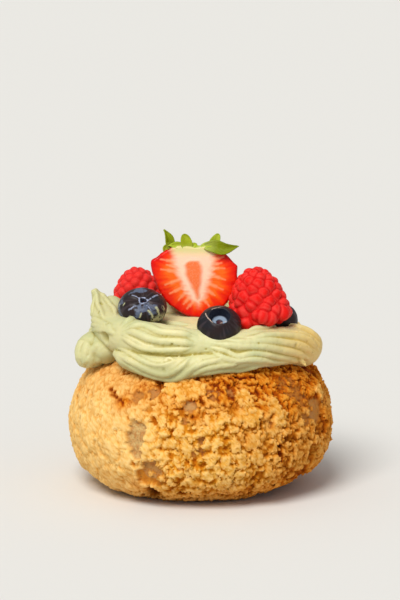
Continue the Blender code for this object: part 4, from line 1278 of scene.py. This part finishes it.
# %% Pattern of the flesh
# Edges of the core and the heart as height and x
CORE_LEFT = ((3.4, 1.2), (4.7, 0.45), (6.6, -1.8), (10.2, -3.7), (14.1, -5.6), (18.5, -6.7), (21.2, -7.0))
CORE_RIGHT = ((3.4, 1.3), (4.7, 1.6), (6.6, 3.2), (10.2, 4.0), (14.1, 5.4), (18.5, 6.0), (21.5, 6.0))
HEART_LEFT = ((5.6, 1.0), (6.9, 0.45), (10.2, -1.2), (14.1, -2.8), (16.6, -3.1), (18.6, -2.0))
HEART_RIGHT = ((5.6, 1.1), (6.9, 1.3), (10.2, 1.8), (14.1, 2.2), (16.6, 2.1), (18.6, 1.0))
# Strands from the core towards the seeds, from and to
STRANDS = (((-6.2, 17.7), (-10.8, 18.5)), ((-5.6, 14.6), (-10.8, 15.4)), ((-5.2, 11.9), (-9.4, 10.4)),
           ((-4.2, 9.4), (-8.0, 7.6)), ((-3.0, 7.8), (-5.2, 5.6)), ((-0.6, 4.9), (-2.5, 2.8)),
           ((5.8, 18.2), (9.3, 19.4)), ((5.2, 15.6), (9.5, 15.7)), ((5.2, 13.6), (9.8, 12.0)),
           ((4.2, 10.9), (9.0, 8.9)), ((2.6, 6.2), (4.6, 3.6)), ((-6.4, 16.2), (-9.0, 16.8)),
           ((5.8, 16.9), (8.6, 17.4)), ((4.6, 8.4), (6.4, 7.0)), ((-2.0, 6.0), (-3.6, 4.2)))
IN_THE_CUT = (1.0, 0.0, 1.0)    # leaves out depth


def between(points, left, right, soft):
    """1 between two edges given as (height, x), easing out over a soft margin in mm."""
    x, _, z = points.T
    from_left = x - np.interp(z, *zip(*left))
    from_right = np.interp(z, *zip(*right)) - x
    inside = np.minimum(from_left, from_right)
    return ease(inside, -soft, soft) * ease(z, left[0][0] - soft, left[0][0] + soft)


none = np.zeros(len(berry_points))
ragged = berry_points + noisy(noise.noise_vector, berry_points, (0.35, 1.6)) * IN_THE_CUT
feathered = ragged + np.stack((0.7 * sample(noise.noise, ragged * (0.4, 1.0, 1.6)), none, none), 1)
core = between(feathered, CORE_LEFT, CORE_RIGHT, 1.5) * front
heart = between(ragged, HEART_LEFT, HEART_RIGHT, 0.9) * (1.0 - ease(ragged[:, 2], 17.4, 18.6)) * front
flat_points = (0.5 * ragged + 0.5 * berry_points) * IN_THE_CUT
strand = none
for start, end in STRANDS:
    start, end = Vector((start[0], 0.0, start[1])), Vector((end[0], 0.0, end[1]))
    strand = np.maximum(strand, along_line(flat_points, start, start.lerp(end, 0.55), 0.9))
    strand = np.maximum(strand, 0.8 * along_line(flat_points, start, end, 0.5))
fanned = np.stack((angle * 5.5, share * 1.5, none + 3.0), 1)   # so that fibres run out to the rim
fibres = sample(lambda spot: noise.fractal(spot, 0.9, 2.3, 4), fanned)
print("strands:", len(STRANDS))

# %% Seeds, relief and marks of the strawberry
SEED_COUNT = 150                # on a whole berry
SEED_STRETCH = (0.62, 0.62, 0.95)
SEED_RISE = 0.22
DENT_DEPTH = 0.42
COLLAR_Z = (21.4, 22.2)         # where the leaves' collar hides the skin
GREEN_Z = (18.6, 22.0)          # over which the core turns green
RIM_WIDTH = 7.0                 # of the deep red rim

seeds = dents = none
for i in range(SEED_COUNT // 2, SEED_COUNT):
    turn = i * GOLDEN_ANGLE
    back = (2 * i + 1) / SEED_COUNT - 1.0                      # 0 at the cut, 1 at the middle of the back
    reach = math.sqrt(1.0 - back ** 2) * rim_at(turn)
    seed = (reach * math.cos(turn), CUT_EDGE + BERRY_BULGE * back, CUT_MIDDLE[1] + reach * math.sin(turn))
    away = np.linalg.norm((berry_points - seed) / SEED_STRETCH, axis=1)
    seeds = np.maximum(seeds, 1.0 - ease(away, 0.55, 0.85))
    dents = np.maximum(dents, 1.0 - ease(away, 0.3, 2.1))
seeds = seeds * ~front
dents = dents * ease(share, 0.0, 0.1) * ~front
back = np.sqrt(np.maximum(0.0, 1.0 - share ** 2))
outward = np.stack((np.cos(angle) * share, back, np.sin(angle) * share), 1)
berry_points += outward * (SEED_RISE * seeds - DENT_DEPTH * dents)[:, None]
berry_points[:, 1] -= (0.10 * fibres * (1 - core) + 0.25 * heart - 0.1 * core) * front
write_points(strawberry.data, berry_points * MM)

x, y, z = berry_points.T
collared = ease(z, *COLLAR_Z) * (np.abs(x) < 7.5) * (y < 3.0)
greening = ease(z, *GREEN_Z) * front * ease(-np.abs(x), -9.0, -5.5)
write_marks(strawberry, {
    "core": core, "heart": heart, "strand": strand * front, "fibres": fibres * 0.5 + 0.5, "seeds": seeds,
    "skin": (~front | (share > 0.985)) * (1.0 - collared), "green": np.maximum(greening, collared),
    "inward": np.clip((1.0 - share) * rim / RIM_WIDTH, 0.0, 1.0)})
strawberry.data.transform(BERRY_FRAME)
print("seeds:", SEED_COUNT // 2)

# %% [markdown]
# ## Cut strawberry
#
# The cut face is wet, so it is glossy. Its flesh runs from a deep red rim to orange near the core, the core
# is cream-coloured and turns yellow green at the leaves, and the heart is a speckled orange. The skin
# behind is red with straw-coloured seeds.

# %% Material of the strawberry
FLESH_GRAIN_SIZE = 0.5          # mm
FLESH_LAYERS = [
    ("strand", "#FCA676", 0.75), ("core", "#FDD3B6", 0.97), ("heart", "#F26C20", 0.92),
    ("green", "#D2CE84", 0.85), ("skin", "#C20A0C", 1.0), ("seeds", "#D9A24A", 1.0),
]

strawberry_flesh, tree = new_material("cut_strawberry")
place = add(tree, "ShaderNodeTexCoord", out="Object")
marks = {name: add(tree, "ShaderNodeAttribute", out="Fac", attribute_name=name)
         for name in ("core", "heart", "strand", "fibres", "skin", "inward", "seeds", "green")}
fine = add(tree, "ShaderNodeTexNoise", {"Vector": place, "Scale": 1 / (FLESH_GRAIN_SIZE * MM),
                                        "Detail": 3.0})
inward = add(tree, "ShaderNodeMath", {0: marks["fibres"], 1: 0.55, 2: marks["inward"]},
             operation="MULTIPLY_ADD")
flesh = set_stops(add(tree, "ShaderNodeValToRGB", {"Fac": inward}),
                  (0.16, "#C40204"), (0.36, "#E01000"), (0.58, "#EE2C00"), (0.8, "#F64A04"),
                  (1.0, "#FA6A14"))
for name, hex_value, share in FLESH_LAYERS:
    mask = add(tree, "ShaderNodeMath", {0: marks[name], 1: share}, operation="MULTIPLY")
    flesh = add(tree, "ShaderNodeMix", {"Factor": mask, 6: flesh, 7: colour(hex_value)},
                out=2, data_type="RGBA")
speckle = add(tree, "ShaderNodeMapRange", {"Value": fine, "From Min": 0.5, "From Max": 0.68})
for strength in (marks["heart"], 0.45):
    speckle = add(tree, "ShaderNodeMath", {0: speckle, 1: strength}, operation="MULTIPLY")
flesh = add(tree, "ShaderNodeMix", {"Factor": speckle, 6: flesh, 7: colour("#FBA27C")},
            out=2, data_type="RGBA")
bump = add(tree, "ShaderNodeBump", {"Height": fine, "Strength": 0.35, "Distance": 0.15 * MM})
give_surface(tree, {"Base Color": flesh, "Normal": bump, "Roughness": 0.3, "Specular IOR Level": 0.22,
                    "Subsurface Weight": 0.1, "Subsurface Radius": (1.0, 0.3, 0.15),
                    "Subsurface Scale": 1.0 * MM})
finish_piece(strawberry, "cut_strawberry_half", strawberry_flesh, ["strawberry_half"])

# %% [markdown]
# ## The strawberry's leaves
#
# The sepals of the cap are small thin leaves. Each starts as a grid whose rows are laid along a curved
# midrib, narrow at the foot and pointed at the tip, with its edges cupped up. A Solidify modifier gives it
# thickness.

# %% Model the leaves
# Midrib in the strawberry's frame, width, cup (how far its edges rise), where it faces, how dark, how blunt
LEAVES = [
    (((-7.4, 1.4, 21.6), (-8.2, 1.0, 23.4), (-8.5, 0.6, 25.6),
      (-9.9, 0.7, 28.0)), 3.2, 0.9, (0.6, -1.0, 0.0), 0.42),
    (((-9.6, 1.0, 20.8), (-9.3, 0.7, 22.4), (-8.4, 0.5, 23.8)), 1.6, 0.3, (0.3, -1.0, 0.0), 0.12),
    (((-3.4, 1.2, 22.2), (-6.0, 0.7, 23.0), (-8.6, 0.5, 23.0)), 2.2, 0.3, (0.0, -1.0, 0.2), 0.02),
    (((-2.2, 1.0, 21.8), (-2.7, 0.6, 24.0), (-3.5, 0.7, 26.6)), 4.0, 0.5, (0.1, -1.0, 0.1), 0.16, 0.8),
    (((-1.6, 1.2, 22.2), (0.0, 0.9, 23.0), (1.2, 0.9, 22.2)), 1.8, 0.2, (0.0, -1.0, 0.3), 0.0),
    (((5.6, 1.2, 22.0), (6.4, 0.8, 24.0), (7.6, 0.9, 26.7)), 3.6, 0.5, (-0.1, -1.0, 0.1), 0.06, 0.8),
    (((3.2, 0.4, 22.7), (6.2, -0.5, 22.6), (9.6, -1.2, 21.8),
      (14.1, -1.4, 22.7)), 4.3, 0.8, (0.05, -1.0, 0.15), 0.55),
    (((2.0, 0.8, 22.8), (4.4, 0.2, 23.2), (7.4, 0.0, 23.0)), 1.8, 0.3, (0.0, -1.0, 0.2), 0.0),
    (((-2.2, 3.2, 22.6), (-5.4, 6.0, 22.9), (-8.9, 9.6, 22.0)), 4.4, 0.6, (0.0, 0.4, 1.0), 0.4),
    (((2.2, 3.2, 22.6), (4.8, 6.4, 22.9), (7.6, 10.2, 22.0)), 4.4, 0.6, (0.0, 0.4, 1.0), 0.4),
]
LEAF_THICKNESS = 0.32
LEAF_ROWS, LEAF_COLUMNS = 28, 12
LEAF_EDGE = 0.03                # half width at the very tip
MIDRIB_GROOVE = 0.10
LEAF_WAVE = 0.16
COLLAR_PLACE = Vector((0.0, 2.6, 22.2))
COLLAR_RADII = (4.2, 2.2, 0.9)


def leaf(midrib, width, cup, facing, dark, blunt=0.0):
    """A thin leaf laid along its midrib, marked with how far across and along it each point lies."""
    made = fresh(bpy.ops.mesh.primitive_grid_add, size=2.0, x_subdivisions=LEAF_ROWS,
                 y_subdivisions=LEAF_COLUMNS)
    grid = read_points(made.data)
    line = smooth_line(midrib, 0.15)
    places = []
    for u, v, _ in grid:
        along = (u + 1) / 2
        spot = along * (len(line) - 1)
        low = min(int(spot), len(line) - 2)
        middle = line[low].lerp(line[low + 1], spot - low)
        ahead = (line[low + 1] - line[low]).normalized()
        side = ahead.cross(Vector(facing)).normalized()
        normal = side.cross(ahead).normalized()
        oval = 0.42 + 0.58 * math.sin(math.pi * min(1.0, along * 1.12) ** 0.9)
        pointed = oval * (1.0 - along ** 5) ** 0.7
        rounded = 0.9 * (1.0 - along ** 4) ** 0.5
        half = max(LEAF_EDGE, width / 2 * ((1.0 - blunt) * pointed + blunt * rounded))
        rise = cup * v * v * math.sin(math.pi * min(1.0, 0.15 + along * 0.8))
        rise -= MIDRIB_GROOVE * (1.0 - abs(v)) ** 6
        wave = LEAF_WAVE * math.sin(9.0 * along + 2.5 * v + dark * 20) * abs(v)
        places.append(middle + side * v * half + normal * (rise + wave))
    write_points(made.data, np.array([place[:] for place in places]) * MM)
    write_marks(made, {"across": grid[:, 1], "along": (grid[:, 0] + 1) / 2,
                       "dark": np.full(len(grid), dark)})
    solid = made.modifiers.new("thickness", "SOLIDIFY")
    solid.thickness = LEAF_THICKNESS * MM
    solid.offset = 0.0
    apply_modifiers(made)
    return made


collar = fresh(bpy.ops.mesh.primitive_uv_sphere_add, segments=48, ring_count=24, radius=MM)
collar.data.transform(Matrix.Translation(COLLAR_PLACE * MM) @ Matrix.Diagonal((*COLLAR_RADII, 1.0)))
leaves = join([leaf(*values) for values in LEAVES] + [collar])
leaves.data.transform(BERRY_FRAME)
print("leaves:", len(LEAVES))

# %% [markdown]
# ## Leaf
#
# A strawberry leaf is fresh green with paler veins that slant from the midrib to the edge, and yellower
# towards its foot. It is satin, and the light shines through it a little.

# %% Material of the leaves
VEIN_WAVE = 44.0                # radians from foot to tip, for seven veins
LEAF_MOTTLE_SIZE = 1.4          # mm

leaf_green, tree = new_material("fresh_strawberry_leaf")
place = add(tree, "ShaderNodeTexCoord", out="Object")
marks = {name: add(tree, "ShaderNodeAttribute", out="Fac", attribute_name=name)
         for name in ("across", "along", "dark")}
from_midrib = add(tree, "ShaderNodeMath", {0: marks["across"]}, operation="ABSOLUTE")
slant = add(tree, "ShaderNodeMath", {0: from_midrib, 1: -0.35, 2: marks["along"]}, operation="MULTIPLY_ADD")
slant = add(tree, "ShaderNodeMath", {0: slant, 1: VEIN_WAVE}, operation="MULTIPLY")
veins = add(tree, "ShaderNodeMath", {0: slant}, operation="SINE")
veins = add(tree, "ShaderNodeMapRange", {"Value": veins, "From Min": 0.7, "From Max": 1.0, "To Max": 0.16})
foot = add(tree, "ShaderNodeMapRange", {"Value": marks["along"], "From Min": 0.0, "From Max": 0.4,
                                        "To Min": 0.65, "To Max": 0.0})
mottle = add(tree, "ShaderNodeTexNoise", {"Vector": place, "Scale": 1 / (LEAF_MOTTLE_SIZE * MM),
                                          "Detail": 3.0})
darkness = add(tree, "ShaderNodeMath", {0: mottle, 1: 0.35, 2: marks["dark"]}, operation="MULTIPLY_ADD")
green = set_stops(add(tree, "ShaderNodeValToRGB", {"Fac": darkness}),
                  (0.12, "#AEBE38"), (0.35, "#98A218"), (0.6, "#808A04"), (0.9, "#667200"))
for mask, hex_value in ((foot, "#BDC766"), (veins, "#A3B950")):
    green = add(tree, "ShaderNodeMix", {"Factor": mask, 6: green, 7: colour(hex_value)},
                out=2, data_type="RGBA")
bump = add(tree, "ShaderNodeBump", {"Height": veins, "Strength": 0.5, "Distance": 0.2 * MM})
give_surface(tree, {"Base Color": green, "Normal": bump, "Roughness": 0.55, "Specular IOR Level": 0.12,
                    "Subsurface Weight": 0.1, "Subsurface Radius": (0.5, 1.0, 0.2),
                    "Subsurface Scale": 0.5 * MM})
finish_piece(leaves, "strawberry_leaves", leaf_green, ["strawberry_cap"])

# %% [markdown]
# ## The studio
#
# A plain pale floor, a broad soft sun from the front left, and a pale sky to fill the shadows. The floor is
# wide enough that no edge of it shows from any side.

# %% Floor, sun and sky
FLOOR_SIZE = 12.0
SUN_FROM = Vector((-0.31, -0.70, 1.0))
SUN_STRENGTH = 2.75
SUN_WIDTH = math.radians(32)    # broad, for soft shadows
SUN_COLOUR = (1.0, 0.985, 0.96)
SKY_COLOUR = (1.0, 1.0, 1.0, 1.0)
SKY_STRENGTH = 0.45

floor_paint, tree = new_material("pale_floor")
give_surface(tree, {"Base Color": colour("#DEDDD9"), "Roughness": 0.9})
floor = fresh(bpy.ops.mesh.primitive_plane_add, size=FLOOR_SIZE)
floor.name = "floor"
floor.data.materials.append(floor_paint)

sun_data = bpy.data.lights.new("sun", "SUN")
sun_data.energy = SUN_STRENGTH
sun_data.angle = SUN_WIDTH
sun_data.color = SUN_COLOUR
sun = new_object("sun", sun_data)
sun.rotation_euler = (-SUN_FROM).to_track_quat("-Z", "Y").to_euler()

sky = bpy.data.worlds.new("sky")
sky.use_nodes = True
sky.node_tree.nodes["Background"].inputs["Color"].default_value = SKY_COLOUR
sky.node_tree.nodes["Background"].inputs["Strength"].default_value = SKY_STRENGTH
bpy.context.scene.world = sky
bpy.context.scene.view_settings.view_transform = "Standard"
print("sun from", tuple(round(part, 2) for part in SUN_FROM))
